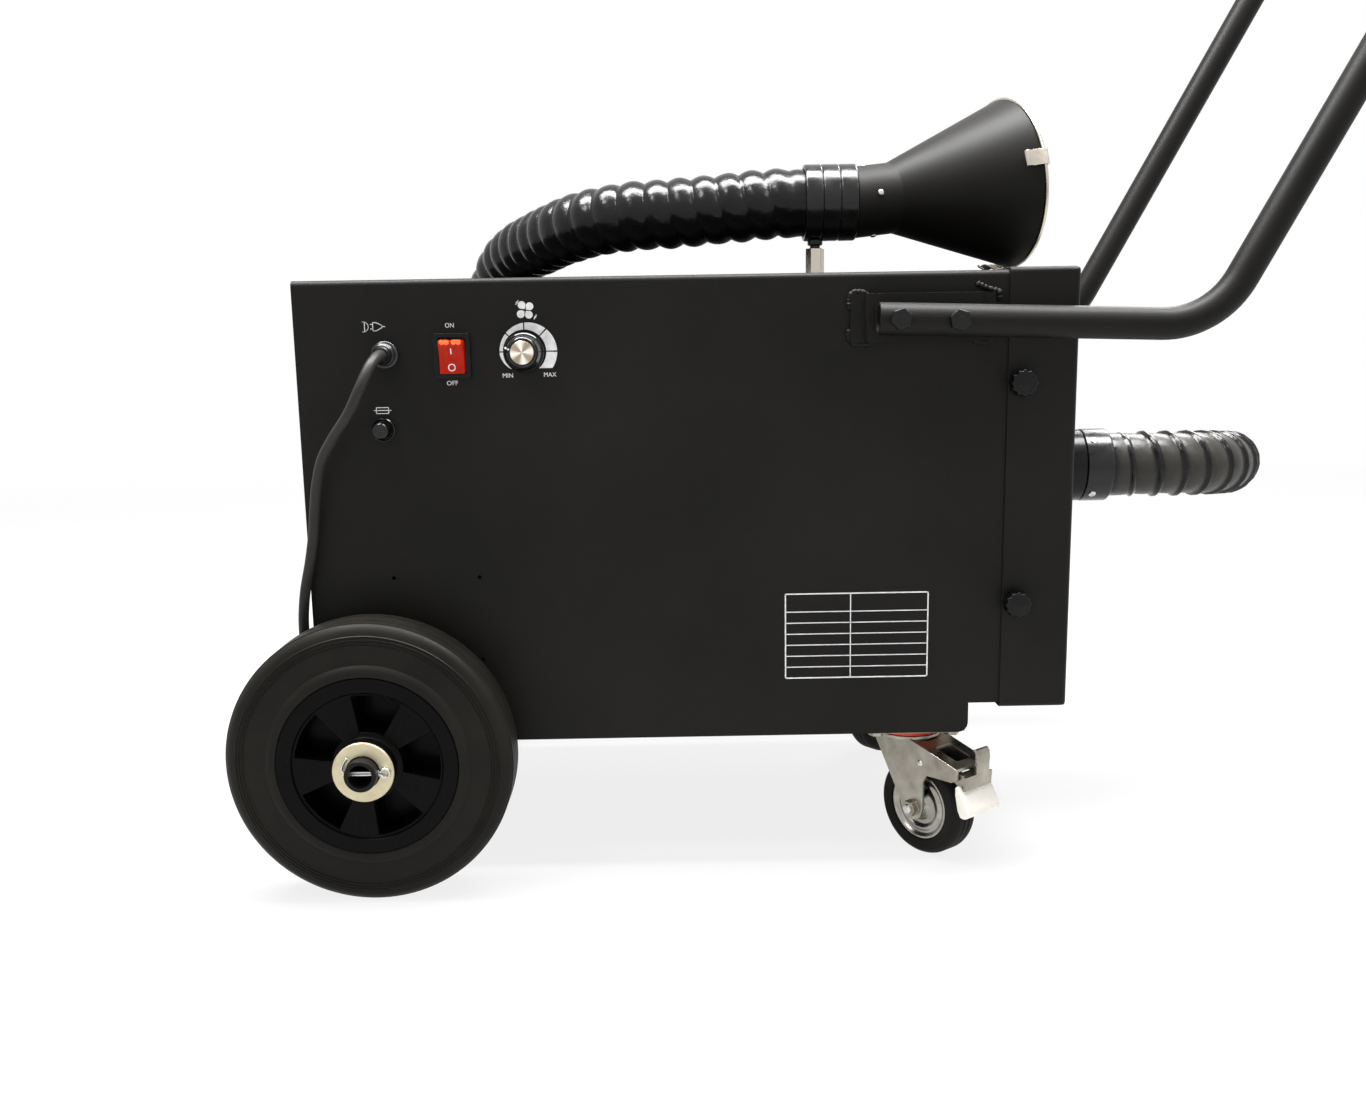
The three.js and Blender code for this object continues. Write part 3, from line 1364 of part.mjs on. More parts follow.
// Inlet spigot on the door, and the riveted cuff that holds the hose to it
const SPIGOT_BORE = HOSE_BORE + 1;
const SPIGOT_STEP = DOOR_FACE + SPIGOT_LENGTH;
const HOSE_END_RADIUS = 25.8;
const SEAT_RADIUS = HOSE_END_RADIUS;
const HOSE_START_X = SPIGOT_STEP + CUFF_LAP + FIT;

function inletSpigot() {
  const from = DOOR_FACE + FIT;
  return turned('x', [
    [SPIGOT_BORE, from],
    [SPIGOT_RADIUS + 11, from],
    [SPIGOT_RADIUS + 11, from + 2],
    [SPIGOT_RADIUS, from + 3.5],
    [SPIGOT_RADIUS, SPIGOT_STEP],
    [SEAT_RADIUS, SPIGOT_STEP],
    [SEAT_RADIUS, SPIGOT_STEP + CUFF_LAP],
    [SPIGOT_BORE, SPIGOT_STEP + CUFF_LAP],
    [SPIGOT_BORE, from],
  ], 20, MIDDLE_Y, SKIRT_Z + INLET_Z);
}

function cuffSleeve(inner, from, to) {
  return turned('x', [
    [inner, from],
    [inner + CUFF_WALL, from],
    [inner + CUFF_WALL + 0.8, from + 2.5],
    [inner + CUFF_WALL, from + 5],
    [inner + CUFF_WALL, to],
    [inner, to],
    [inner, from],
  ], 20);
}

function hoseCuffInlet() {
  const from = SPIGOT_STEP + FIT;
  const body = cuffSleeve(HOSE_END_RADIUS + 2 * FIT, from, from + INLET_CUFF_LENGTH);
  fit(machine, 'hose_cuff_inlet', body, BLACK_PLASTIC).position.set(0, MIDDLE_Y, SKIRT_Z + INLET_Z);
}

// Hood: throat and cone in one, tilted up from the hose and turned to the rear
function hoodCone() {
  const t = HOOD_SHEET;
  const mouthX = THROAT_LENGTH + CONE_LENGTH;
  const bore = SEAT_RADIUS - 1.6;
  const overlap = THROAT_RADIUS / 2;
  const level = (geometry) => geometry.rotateZ(-radians(HOOD_YAW)).rotateY(radians(HOOD_TILT));
  const size = 3 * THROAT_RADIUS;
  const back = new THREE.BoxGeometry(size, size, size).translate(-size / 2, 0, 0);
  const cone = turned('x', [
    [bore, -overlap],
    [THROAT_RADIUS, -overlap],
    [THROAT_RADIUS, THROAT_LENGTH],
    [MOUTH_RADIUS, mouthX],
    [MOUTH_RADIUS - t * 1.2, mouthX],
    [THROAT_RADIUS - t, THROAT_LENGTH + 1],
    [bore, THROAT_LENGTH / 3],
    [bore, -overlap],
  ], 28);
  const nipple = new THREE.LatheGeometry([
    [bore, -CUFF_LAP],
    [SEAT_RADIUS, -CUFF_LAP],
    [SEAT_RADIUS, 1],
    [bore, 1],
    [bore, -CUFF_LAP],
  ].map(([radius, along]) => new THREE.Vector2(radius, along)), 16);
  return join(cut(cone, solid(level(back))), solid(level(nipple.rotateZ(-Math.PI / 2))));
}

function hoodRing() {
  const from = THROAT_LENGTH + CONE_LENGTH + FIT;
  const outer = MOUTH_RADIUS + 1;
  const ring = turned('x', [
    [outer - 4, from],
    [outer, from],
    [outer + 0.6, from + 1.5],
    [outer, from + 3],
    [outer - 4, from + 3],
    [outer - 4, from],
  ], 28);
  const clips = [];
  for (let i = 0; i < CLIPS; i += 1) {
    const strap = new THREE.BoxGeometry(17, 1.2, 12).translate(from - 5.5, -outer - 1.2, 0);
    const lip = new THREE.BoxGeometry(1.4, 5, 12).translate(from + 2.3, -outer + 0.6, 0);
    for (const piece of [strap, lip]) {
      clips.push(solid(piece.rotateX(radians(-12) + (2 * Math.PI * i) / CLIPS)));
    }
  }
  return join(ring, ...clips);
}

// Cuff at the hood end, with the stud that drops into the support socket
const STUD_DEPTH = 12;

function hoseCuffHood() {
  const inner = HOSE_END_RADIUS + 2 * FIT;
  const body = cuffSleeve(inner, HOOD_X - HOOD_CUFF_LENGTH, HOOD_X - FIT);
  const socketTop = TOP_Z + FIT + SUPPORT_HEIGHT;
  const stud = rod('z', STUD_RADIUS, socketTop - STUD_DEPTH - HOSE_TOP, -inner - 1, 10, SUPPORT_X, 0);
  const pad = rod('z', STUD_RADIUS + 2, -inner - CUFF_WALL - 1.6, -inner - 1, 6, SUPPORT_X, 0);
  const mesh = fit(machine, 'hose_cuff_hood', join(body, stud, pad), BLACK_PLASTIC);
  mesh.position.set(0, MIDDLE_Y, HOSE_TOP);
}

function supportSocket() {
  const low = TOP_Z + FIT;
  const high = low + SUPPORT_HEIGHT;
  const nut = extruded('z', hexagon(SUPPORT_X, MIDDLE_Y, SUPPORT_FLATS), low, high);
  const bore = rod('z', STUD_RADIUS + FIT, high - STUD_DEPTH - 1.5, high + 1, 10, SUPPORT_X, MIDDLE_Y);
  return cut(nut, bore);
}

// Hose route, hood end first: over the rear edge, down, along the back and round to the inlet
const HOSE_POINTS = [
  [HOOD_X - CUFF_LAP - FIT, MIDDLE_Y, HOSE_TOP],
  [372, 145, HOSE_TOP],
  [345, 145, 489],
  [322, 146.5, 487.6],
  [284, 151, 485],
  [256, 156, 483.6],
  [228, 164, 482.8],
  [202, 178, 480.3],
  [178, 201, 476.4],
  [153, 237, 470],
  [129, 276, 463],
  [109, 312, 450],
  [97, 334, 426],
  [92, 344, 392],
  [100, 345, 355],
  [122, 345, 318],
  [158, 345, 285],
  [205, 344, 258],
  [262, 343, 240],
  [330, 342, 228],
  [400, 341, 222],
  [470, 340, 224],
  [540, 338, 234],
  [600, 335, 247],
  [651, 332, 256],
  [698, 319.5, 261],
  [732, 286, 265.5],
  [745, 239, 270],
  [732, 192, 274],
  [698, 158, 277.4],
  [651, 145, 278.6],
  [624, 145, 278.6],
  [HOSE_START_X, MIDDLE_Y, SKIRT_Z + INLET_Z],
];

// A ribbed tube with its bore: a crest ring and a valley ring for each rib, plain at both ends
function ribbedHose(points) {
  const curve = new THREE.CatmullRomCurve3(points.map(vector), false, 'centripetal');
  curve.arcLengthDivisions = 60 * points.length;
  const length = curve.getLength();
  const plain = HOOD_CUFF_LENGTH - CUFF_LAP;
  const ribs = Math.floor((length - plain - INLET_CUFF_LENGTH) / HOSE_PITCH);
  const pitch = (length - plain - INLET_CUFF_LENGTH) / ribs;
  const rings = [[0, HOSE_END_RADIUS], [plain - 1, HOSE_END_RADIUS]];
  for (let rib = 0; rib < ribs; rib += 1) {
    rings.push([plain + (rib + 0.3) * pitch, HOSE_VALLEY]);
    rings.push([plain + (rib + 0.75) * pitch, HOSE_CREST]);
  }
  rings.push([length - INLET_CUFF_LENGTH + 3, HOSE_END_RADIUS]);
  rings.push([length, HOSE_END_RADIUS]);
  const bore = [[length, HOSE_BORE]];
  for (let rib = ribs; rib > 0; rib -= 5) bore.push([plain + rib * pitch, HOSE_BORE]);
  bore.push([0, HOSE_BORE]);

  const samples = 600;
  const frames = curve.computeFrenetFrames(samples);
  const sides = 8;
  const place = [];
  for (const [along, radius] of [...rings, ...bore]) {
    const share = along / length;
    const centre = curve.getPointAt(share);
    const frame = Math.round(share * samples);
    const tangent = curve.getTangentAt(share);
    const across = frames.normals[frame].clone().addScaledVector(tangent, -frames.normals[frame].dot(tangent));
    const up = new THREE.Vector3().crossVectors(tangent, across.normalize());
    for (let side = 0; side < sides; side += 1) {
      const angle = (2 * Math.PI * (side + 0.5)) / sides;
      const point = centre.clone();
      point.addScaledVector(across, radius * Math.cos(angle));
      point.addScaledVector(up, radius * Math.sin(angle));
      place.push(point.x, point.y, point.z);
    }
  }
  const count = rings.length + bore.length;
  const faces = [];
  for (let ring = 0; ring < count; ring += 1) {
    for (let side = 0; side < sides; side += 1) {
      const next = (side + 1) % sides;
      const here = ring * sides;
      const there = ((ring + 1) % count) * sides;
      faces.push(here + side, here + next, there + next, here + side, there + next, there + side);
    }
  }
  const geometry = new THREE.BufferGeometry();
  geometry.setAttribute('position', new THREE.Float32BufferAttribute(place, 3));
  geometry.setIndex(faces);
  return solid(geometry);
}

// Mains lead: out of the gland, down the front left edge and round behind the wheel to the floor
const FLOOR_GAP = 0.1;
const CORD_FLOOR = CORD_RADIUS + FLOOR_GAP;
const CORD_POINTS = [
  [GLAND_X, -GLAND_LENGTH - FIT - CORD_LEAD, SKIRT_Z + GLAND_Z],
  [62, -26, 377.6],
  [59.8, -34.5, 373],
  [54.5, -41.5, 360],
  [44.5, -39, 341.5],
  [31.5, -30, 325.5],
  [20.5, -22, 310],
  [13.5, -15, 292],
  [9.5, -10.5, 273],
  [6.5, -8.2, 253.5],
  [2.6, -7, 234.5],
  [-2, -6.3, 215.5],
  [-4.8, -5.2, 197],
  [-6.4, -1.5, 180],
  [-8.4, 6, 162],
  [-9.6, 16, 138],
  [-9.4, 27, 112],
  [-7.5, 38, 84],
  [-3.5, 49, 56],
  [4, 60, 31],
  [15, 69, 13],
  [27, COIL_Y - COIL_OUTER - 1, 5.2],
  [36, COIL_Y - COIL_OUTER, CORD_FLOOR],
  [COIL_X - CORD_LEAD - FIT - 2, COIL_Y - COIL_OUTER, CORD_FLOOR],
];

function powerCord() {
  const stations = smoothRoute(CORD_POINTS, 19);
  const last = stations[stations.length - 1];
  stations.unshift(stations[0].clone().add(new THREE.Vector3(0, CORD_LEAD, 0)));
  stations.push(last.clone().add(new THREE.Vector3(2, 0, 0)));
  return swept(polygon(0, 0, CORD_RADIUS, 8, Math.PI / 8), stations);
}

// The rest of the lead in a flat coil of layers, wound in and out, with its end brought up over it
function coilStations() {
  const stations = [];
  const stepsPerTurn = 24;
  let angle = -Math.PI / 2;
  let level = CORD_FLOOR;
  let radius = COIL_OUTER;
  const push = () => stations.push(new THREE.Vector3(
    COIL_X + radius * Math.cos(angle),
    COIL_Y + radius * Math.sin(angle),
    level,
  ));
  const advance = (turns, radiusTo, levelTo) => {
    const steps = Math.round(turns * stepsPerTurn);
    const from = [radius, level];
    for (let i = 1; i <= steps; i += 1) {
      angle += (2 * Math.PI) / stepsPerTurn;
      radius = from[0] + ((radiusTo - from[0]) * i) / steps;
      level = from[1] + ((levelTo - from[1]) * i) / steps;
      push();
    }
  };
  push();
  stations.unshift(stations[0].clone().sub(new THREE.Vector3(CORD_LEAD, 0, 0)));
  for (let layer = 0; layer < COIL_LAYERS; layer += 1) {
    advance(COIL_TURNS, layer % 2 ? COIL_OUTER : COIL_INNER, level);
    advance(0.5, radius, level + COIL_STEP);
  }
  const turnIn = 31;
  const centre = new THREE.Vector3(
    COIL_X + (radius - turnIn) * Math.cos(angle),
    COIL_Y + (radius - turnIn) * Math.sin(angle),
    0,
  );
  const steps = 12;
  const rise = coilTop() + PLUG_RADIUS - level;
  for (let i = 1; i <= steps; i += 1) {
    const a = angle + (Math.PI * i) / steps;
    const height = level + rise * Math.min(1, (i / steps) * 1.1);
    stations.push(new THREE.Vector3(centre.x + turnIn * Math.cos(a), centre.y + turnIn * Math.sin(a), height));
  }
  return stations;
}

const coilTop = () => CORD_FLOOR + (COIL_LAYERS - 1) * COIL_STEP + CORD_RADIUS + FIT;

// Least distance between stretches of the coil that aren't neighbours, less the cord's diameter
function leastGap(stations) {
  let least = Infinity;
  for (let i = 0; i < stations.length; i += 1) {
    for (let j = i + 6; j < stations.length; j += 1) {
      least = Math.min(least, stations[i].distanceTo(stations[j]));
    }
  }
  return least - 2 * CORD_RADIUS;
}

// Mains plug: a moulded grip and face with two round pins, lying on the coil
function mainsPlug(stations) {
  const end = stations[stations.length - 1];
  const before = stations[stations.length - 2];
  const heading = Math.atan2(end.y - before.y, end.x - before.x);
  const body = turned('x', [
    [0, FIT],
    [CORD_RADIUS + 1.6, FIT],
    [CORD_RADIUS + 2.4, 10],
    [10, 13],
    [12.5, 22],
    [PLUG_RADIUS - 2, 27],
    [PLUG_RADIUS - 0.3, 32],
    [PLUG_RADIUS - 0.3, PLUG_LENGTH - 1],
    [PLUG_RADIUS - 1.5, PLUG_LENGTH],
    [0, PLUG_LENGTH],
  ], 14);
  const pins = [-9.5, 9.5].map((y) => rod('x', 2.4, PLUG_LENGTH - 1, PLUG_LENGTH + 19, 6, y, 0));
  const mesh = fit(machine, 'mains_plug', join(body, ...pins), BLACK_PLASTIC);
  mesh.position.copy(end);
  mesh.rotation.z = heading;
}

// Assembly
fit(machine, 'cabinet_wrapper', cabinetWrapper(), POWDER);
fit(machine, 'exhaust_end_panel', exhaustEndPanel(), POWDER);
fit(machine, 'base_pan', basePan(), POWDER);
fit(machine, 'filter_bulkhead', filterBulkhead(), GALVANISED);
fit(machine, 'filter_door', filterDoor(), POWDER);
fit(machine, 'door_gasket', doorGasket(), FOAM);
doorKnob('door_knob_front_upper', KNOB_UPPER, true);
doorKnob('door_knob_front_lower', KNOB_LOWER, true);
doorKnob('door_knob_rear_upper', KNOB_UPPER, false);
doorKnob('door_knob_rear_lower', KNOB_LOWER, false);
fit(machine, 'filter_frame', filterFrame(), GALVANISED);
fit(machine, 'filter_media', filterMedia(), FILTER_PAPER);
fit(machine, 'spark_baffle', sparkBaffle(), GALVANISED);
fit(machine, 'fan_housing', fanHousing(), GALVANISED);
fit(machine, 'fan_impeller', fanImpeller(), GALVANISED);
fit(machine, 'fan_motor', fanMotor(), GALVANISED);
fit(machine, 'switch_body', switchBody(), BLACK_PLASTIC);
switchRocker();
fit(machine, 'speed_control', speedControl(), BLACK_PLASTIC);
speedKnob();
fit(machine, 'fuse_holder', fuseHolder(), BLACK_PLASTIC);
fit(machine, 'fuse_cap', fuseCap(), BLACK_PLASTIC);
fit(machine, 'cable_gland', cableGland(), BLACK_PLASTIC);
fit(machine, 'axle_tube', axleTube(), POWDER);
mainWheel('front', radians(80));
mainWheel('rear', radians(44));
castor('front', FRONT_CASTOR_TURN);
castor('rear', REAR_CASTOR_TURN);
fit(machine, 'handle_bracket_front', handleBracket(true), POWDER);
fit(machine, 'handle_bracket_rear', handleBracket(false), POWDER);
fit(machine, 'handle_tube', handleTube(), POWDER);
fit(machine, 'inlet_spigot', inletSpigot(), BLACK_PLASTIC);
hoseCuffInlet();
const hood = new THREE.Group();
hood.position.set(HOOD_X, MIDDLE_Y, HOSE_TOP);
hood.rotation.set(0, -radians(HOOD_TILT), radians(HOOD_YAW), 'ZYX');
machine.add(hood);
fit(hood, 'hood_cone', hoodCone(), POWDER);
fit(hood, 'hood_ring', hoodRing(), NICKEL);
hoseCuffHood();
fit(machine, 'support_socket', supportSocket(), NICKEL);
machine.updateMatrixWorld(true);
const machineBox = new THREE.Box3().setFromObject(machine, true);
fit(machine, 'extraction_hose', ribbedHose(HOSE_POINTS), HOSE_PLASTIC);
fit(machine, 'power_cord', powerCord(), CORD_JACKET);
const coil = coilStations();
fit(machine, 'cord_coil', swept(polygon(0, 0, CORD_RADIUS, 6), coil), CORD_JACKET);
mainsPlug(coil);
console.log(`least gap in the coil ${leastGap(coil).toFixed(2)} mm`);

const middle = machineBox.getCenter(new THREE.Vector3());
machine.position.set(-middle.x, -middle.y, -machineBox.min.z);
const group = new THREE.Group();
group.add(machine);

export default group;
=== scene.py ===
import math

import bmesh
import bpy
from mathutils import Matrix, Vector, noise
from mathutils.geometry import interpolate_bezier


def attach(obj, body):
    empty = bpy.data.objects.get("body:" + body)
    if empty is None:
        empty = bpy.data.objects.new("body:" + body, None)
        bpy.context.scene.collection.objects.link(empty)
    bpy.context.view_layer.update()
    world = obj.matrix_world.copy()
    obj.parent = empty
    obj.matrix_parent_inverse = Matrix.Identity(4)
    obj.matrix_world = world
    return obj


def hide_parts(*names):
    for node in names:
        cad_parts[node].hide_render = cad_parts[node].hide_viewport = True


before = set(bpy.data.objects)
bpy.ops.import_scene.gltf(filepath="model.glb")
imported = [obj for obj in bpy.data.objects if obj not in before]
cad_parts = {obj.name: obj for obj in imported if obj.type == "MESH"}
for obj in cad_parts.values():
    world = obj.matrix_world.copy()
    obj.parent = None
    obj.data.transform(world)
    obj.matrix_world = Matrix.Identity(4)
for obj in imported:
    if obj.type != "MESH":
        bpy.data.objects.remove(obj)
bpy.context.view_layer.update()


# ---- Camera, floor and light -------------------------------------------------------------------
# The photograph was taken from about 0.9 m in front of the control side, a little below the level
# of the cabinet's top, looking ten degrees down. The machine stands on a plain white studio sweep.

EYE = (-0.173419, -1.043006, 0.393051)
SENSOR_WIDTH, FOCAL_LENGTH = 36, 33.75
heading, dip, roll = 0.0042215, 0.175525, 0.0166168
look = Vector((
    math.sin(heading) * math.cos(dip), math.cos(heading) * math.cos(dip), -math.sin(dip),
))
level_right = Vector((math.cos(heading), -math.sin(heading), 0))
level_down = look.cross(level_right)
right = level_right * math.cos(roll) + level_down * math.sin(roll)
up = level_right * math.sin(roll) - level_down * math.cos(roll)
lens = bpy.data.cameras.new("photo_camera")
lens.sensor_width = SENSOR_WIDTH
lens.lens = FOCAL_LENGTH
lens.clip_end = 100
camera = bpy.data.objects.new("photo_camera", lens)
camera.matrix_world = Matrix.Translation(EYE) @ Matrix((right, up, -look)).transposed().to_4x4()
bpy.context.scene.collection.objects.link(camera)
bpy.context.scene.camera = camera
bpy.context.scene.view_settings.view_transform = "Standard"


def linear(code):
    """An sRGB hex colour as the linear colour that shaders work in."""
    parts = [int(code[i:i + 2], 16) / 255 for i in (1, 3, 5)]
    return (*(p / 12.92 if p <= 0.04045 else ((p + 0.055) / 1.055) ** 2.4 for p in parts), 1)


def node(tree, kind, inputs=None, **settings):
    """Adds one node to a material or world, sets it up, and sets or links its inputs."""
    added = tree.nodes.new(kind)
    for name, value in settings.items():
        setattr(added, name, value)
    for name, value in (inputs or {}).items():
        if isinstance(value, bpy.types.NodeSocket):
            tree.links.new(value, added.inputs[name])
        else:
            added.inputs[name].default_value = value
    return added


def looked_at(tree):
    """1 for what the eye sees, straight, mirrored or through something, and 0 for light that falls."""
    ray = node(tree, "ShaderNodeLightPath")
    seen = ray.outputs["Is Camera Ray"]
    for kind in ("Is Glossy Ray", "Is Transmission Ray"):
        more = node(tree, "ShaderNodeMath", {0: seen, 1: ray.outputs[kind]}, operation="MAXIMUM")
        seen = more.outputs[0]
    return seen


# Matt seamless paper: overexposed to white for the eye, all of it from 2.6 m back, with the machine's
# soft shadow left nearer by. What it throws back at the black paint is grey, so shadows stay deep.
PAPER_GREY, PAPER_WHITE_FROM, PAPER_WHITE_TO = "#c4c4c2", (0.7, 0.84), (2.6, 1.0)
paper = bpy.data.materials.new("white_seamless_paper_matt")
paper.use_nodes = True
tree = paper.node_tree
tree.nodes.clear()
place = node(tree, "ShaderNodeSeparateXYZ", {0: node(tree, "ShaderNodeTexCoord").outputs["Object"]})
away = node(tree, "ShaderNodeMapRange", {
    0: place.outputs[1], 1: PAPER_WHITE_FROM[0], 2: PAPER_WHITE_TO[0], 3: PAPER_WHITE_FROM[1],
    4: PAPER_WHITE_TO[1],
})
share = node(tree, "ShaderNodeMath", {0: looked_at(tree), 1: away.outputs[0]}, operation="MULTIPLY")
matt = node(tree, "ShaderNodeBsdfDiffuse", {"Color": linear(PAPER_GREY)})
white = node(tree, "ShaderNodeEmission", {"Color": (1, 1, 1, 1), "Strength": 1.0})
both = node(tree, "ShaderNodeMixShader", {0: share.outputs[0], 1: matt.outputs[0], 2: white.outputs[0]})
node(tree, "ShaderNodeOutputMaterial", {"Surface": both.outputs[0]})

# The paper in section, (y, z) in metres: flat under the machine, then curved up the far wall
SWEEP_HALF = 9
sweep_section = ((-9, 0), (4, 0), (4.9, 0.1), (5.6, 0.5), (6, 1.2), (6.1, 2), (6.1, 9))
sweep = bmesh.new()
edge = [sweep.verts.new((-SWEEP_HALF, y, z)) for y, z in sweep_section]
for first, second in zip(edge, edge[1:]):
    sweep.edges.new((first, second))
drawn = bmesh.ops.extrude_edge_only(sweep, edges=sweep.edges[:])["geom"]
bmesh.ops.translate(sweep, vec=(2 * SWEEP_HALF, 0, 0),
                    verts=[v for v in drawn if isinstance(v, bmesh.types.BMVert)])
floor_mesh = bpy.data.meshes.new("studio_sweep")
sweep.to_mesh(floor_mesh)
sweep.free()
floor_mesh.shade_smooth()
floor_mesh.materials.append(paper)
floor = bpy.data.objects.new("studio_sweep", floor_mesh)
bpy.context.scene.collection.objects.link(floor)

# The room is white to the eye and in reflections, and lights the machine only dimly
room = bpy.data.worlds.new("studio_room")
room.use_nodes = True
tree = room.node_tree
tree.nodes.clear()
dim = node(tree, "ShaderNodeBackground", {"Color": linear("#b9bcc0"), "Strength": 0.55})
white = node(tree, "ShaderNodeBackground", {"Color": (1, 1, 1, 1), "Strength": 1.0})
both = node(tree, "ShaderNodeMixShader", {0: looked_at(tree), 1: dim.outputs[0], 2: white.outputs[0]})
node(tree, "ShaderNodeOutputWorld", {"Surface": both.outputs[0]})
bpy.context.scene.world = room

# Soft boxes: where each stands and aims, its two sides in metres and its power in watts
for label, place, aim, wide, deep, power in (
    ("key_lamp", (-1.3, -1.0, 2.2), (0.0, 0.0, 0.3), 0.5, 0.5, 18),
    ("overhead_lamp", (-0.15, 0.0, 2.2), (-0.15, 0.0, 0.4), 2.6, 0.75, 230),
    ("side_lamp", (1.5, -1.1, 2.1), (0.1, 0.0, 0.4), 0.5, 0.5, 8),
    ("back_lamp", (0.9, 1.25, 1.5), (0.2, 0.0, 0.35), 0.7, 0.7, 24),
):
    lamp = bpy.data.lights.new(label, "AREA")
    lamp.shape = "RECTANGLE"
    lamp.size, lamp.size_y, lamp.energy = wide, deep, power
    holder = bpy.data.objects.new(label, lamp)
    holder.location = place
    holder.rotation_euler = (Vector(aim) - Vector(place)).to_track_quat("-Z", "Y").to_euler()
    bpy.context.scene.collection.objects.link(holder)


# ---- Extraction hose ---------------------------------------------------------------------------
# A suction hose of glossy black PVC film moulded over a steel wire helix. It is pushed on at the
# hood and at the door inlet, leans on the cabinet's rear edge and loops round the machine.

MM = 0.001
CABINET_DEEP = 290
MIDDLE = CABINET_DEEP / 2
FRAME_X = 435.6586
LEG_POINTS = 33


def spot(x, y, z):
    """A point measured in mm from the cabinet's front left corner on the floor, in the frame."""
    return Vector((x - FRAME_X, y - MIDDLE, z)) * MM


def smooth_route(points, step):
    """Points every step along one smooth curve through the given ones."""
    guide = [2 * points[0] - points[1], *points, 2 * points[-1] - points[-2]]
    fine = []
    for before, here, there, after in zip(guide, guide[1:], guide[2:], guide[3:]):
        legs = ((before, here), (here, there), (there, after))
        first, middle, last = ((b - a).length ** 0.5 for a, b in legs)
        leave = (here - before) / first - (there - before) / (first + middle) + (there - here) / middle
        arrive = (there - here) / middle - (after - here) / (middle + last) + (after - there) / last
        bend = interpolate_bezier(
            here, here + leave * middle / 3, there - arrive * middle / 3, there, LEG_POINTS)
        fine += bend[:-1]
    return even_route([*fine, points[-1]], step)


def even_route(points, step):
    """The same line with its points spread evenly, at about the given spacing."""
    ends = [0.0]
    for a, b in zip(points, points[1:]):
        ends.append(ends[-1] + (b - a).length)
    count = max(2, round(ends[-1] / step))
    route, leg = [], 0
    for i in range(count + 1):
        along = ends[-1] * i / count
        while leg < len(points) - 2 and ends[leg + 1] < along:
            leg += 1
        share = (along - ends[leg]) / max(ends[leg + 1] - ends[leg], 1e-9)
        route.append(points[leg].lerp(points[leg + 1], min(share, 1.0)))
    return route


def length_of(route):
    """How long a line through points is, in metres."""
    return sum((b - a).length for a, b in zip(route, route[1:]))


def swept(route, rings, around, radius_at=None, wall_at=None):
    """A skin round a route: a ring at each (distance along, radius), closed at both ends.
    radius_at(along, angle, radius) may change the radius from point to point, and
    wall_at(along, angle) is kept with each point for the material to read."""
    last = len(route) - 1
    step = length_of(route) / last
    ahead = [(route[min(i + 1, last)] - route[max(i - 1, 0)]).normalized() for i in range(last + 1)]
    side = ahead[0].orthogonal().normalized()
    sides = []
    for i, direction in enumerate(ahead):
        if i:
            side = ahead[i - 1].rotation_difference(direction) @ side
        side = (side - direction * side.dot(direction)).normalized()
        sides.append(side)
    body = bmesh.new()
    walls = body.verts.layers.float.new("painted_sheen_wall") if wall_at else None
    bmesh.ops.create_grid(body, x_segments=around, y_segments=len(rings) - 1, size=1)
    for vert in body.verts:
        column = round((vert.co.x + 1) / 2 * around)
        along, radius = rings[round((vert.co.y + 1) / 2 * (len(rings) - 1))]
        place = min(max(along / step, 0), last)
        low = min(int(place), last - 1)
        centre = route[low].lerp(route[low + 1], place - low)
        direction = ahead[low].lerp(ahead[low + 1], place - low).normalized()
        across = sides[low].lerp(sides[low + 1], place - low).normalized()
        angle = 2 * math.pi * column / around
        if radius_at:
            radius = radius_at(along, angle, radius)
        if wall_at:
            vert[walls] = wall_at(along, angle)
        upward = direction.cross(across)
        vert.co = centre + radius * (across * math.cos(angle) + upward * math.sin(angle))
    bmesh.ops.remove_doubles(body, verts=body.verts, dist=1e-7)
    bmesh.ops.holes_fill(body, edges=[e for e in body.edges if e.is_boundary], sides=0)
    return body


def piece(name, body, surface, rides, replaced=(), sharp=35, weighted=True):
    """Makes a finished bmesh a named piece: faces outwards, smooth, dressed, and on its CAD body."""
    bmesh.ops.recalc_face_normals(body, faces=body.faces)
    mesh = bpy.data.meshes.new(name)
    body.to_mesh(mesh)
    body.free()
    mesh.shade_smooth()
    mesh.set_sharp_from_angle(angle=math.radians(sharp))
    mesh.materials.append(surface)
    made = bpy.data.objects.new(name, mesh)
    bpy.context.scene.collection.objects.link(made)
    if weighted:
        made.modifiers.new("even_shading", "WEIGHTED_NORMAL").keep_sharp = True
    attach(made, rides)
    if replaced:
        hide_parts(*replaced)
    return made


def base_material(name, base, roughness, **settings):
    """A new material with its one shader set up: returns it, its nodes and that shader."""
    made = bpy.data.materials.new(name)
    made.use_nodes = True
    shader = made.node_tree.nodes["Principled BSDF"]
    shader.inputs["Base Color"].default_value = linear(base)
    shader.inputs["Roughness"].default_value = roughness
    for key, value in settings.items():
        shader.inputs[key.replace("_", " ")].default_value = value
    return made, made.node_tree, shader


def surface_grain(tree, shader, here, scale, detail, strength, distance):
    """Fine unevenness in a surface: scale patches a metre, standing distance metres high."""
    grain = node(tree, "ShaderNodeTexNoise", {"Vector": here, "Scale": scale, "Detail": detail})
    rough = node(tree, "ShaderNodeBump", {
        "Height": grain.outputs[0], "Strength": strength, "Distance": distance,
    })
    tree.links.new(rough.outputs[0], shader.inputs["Normal"])
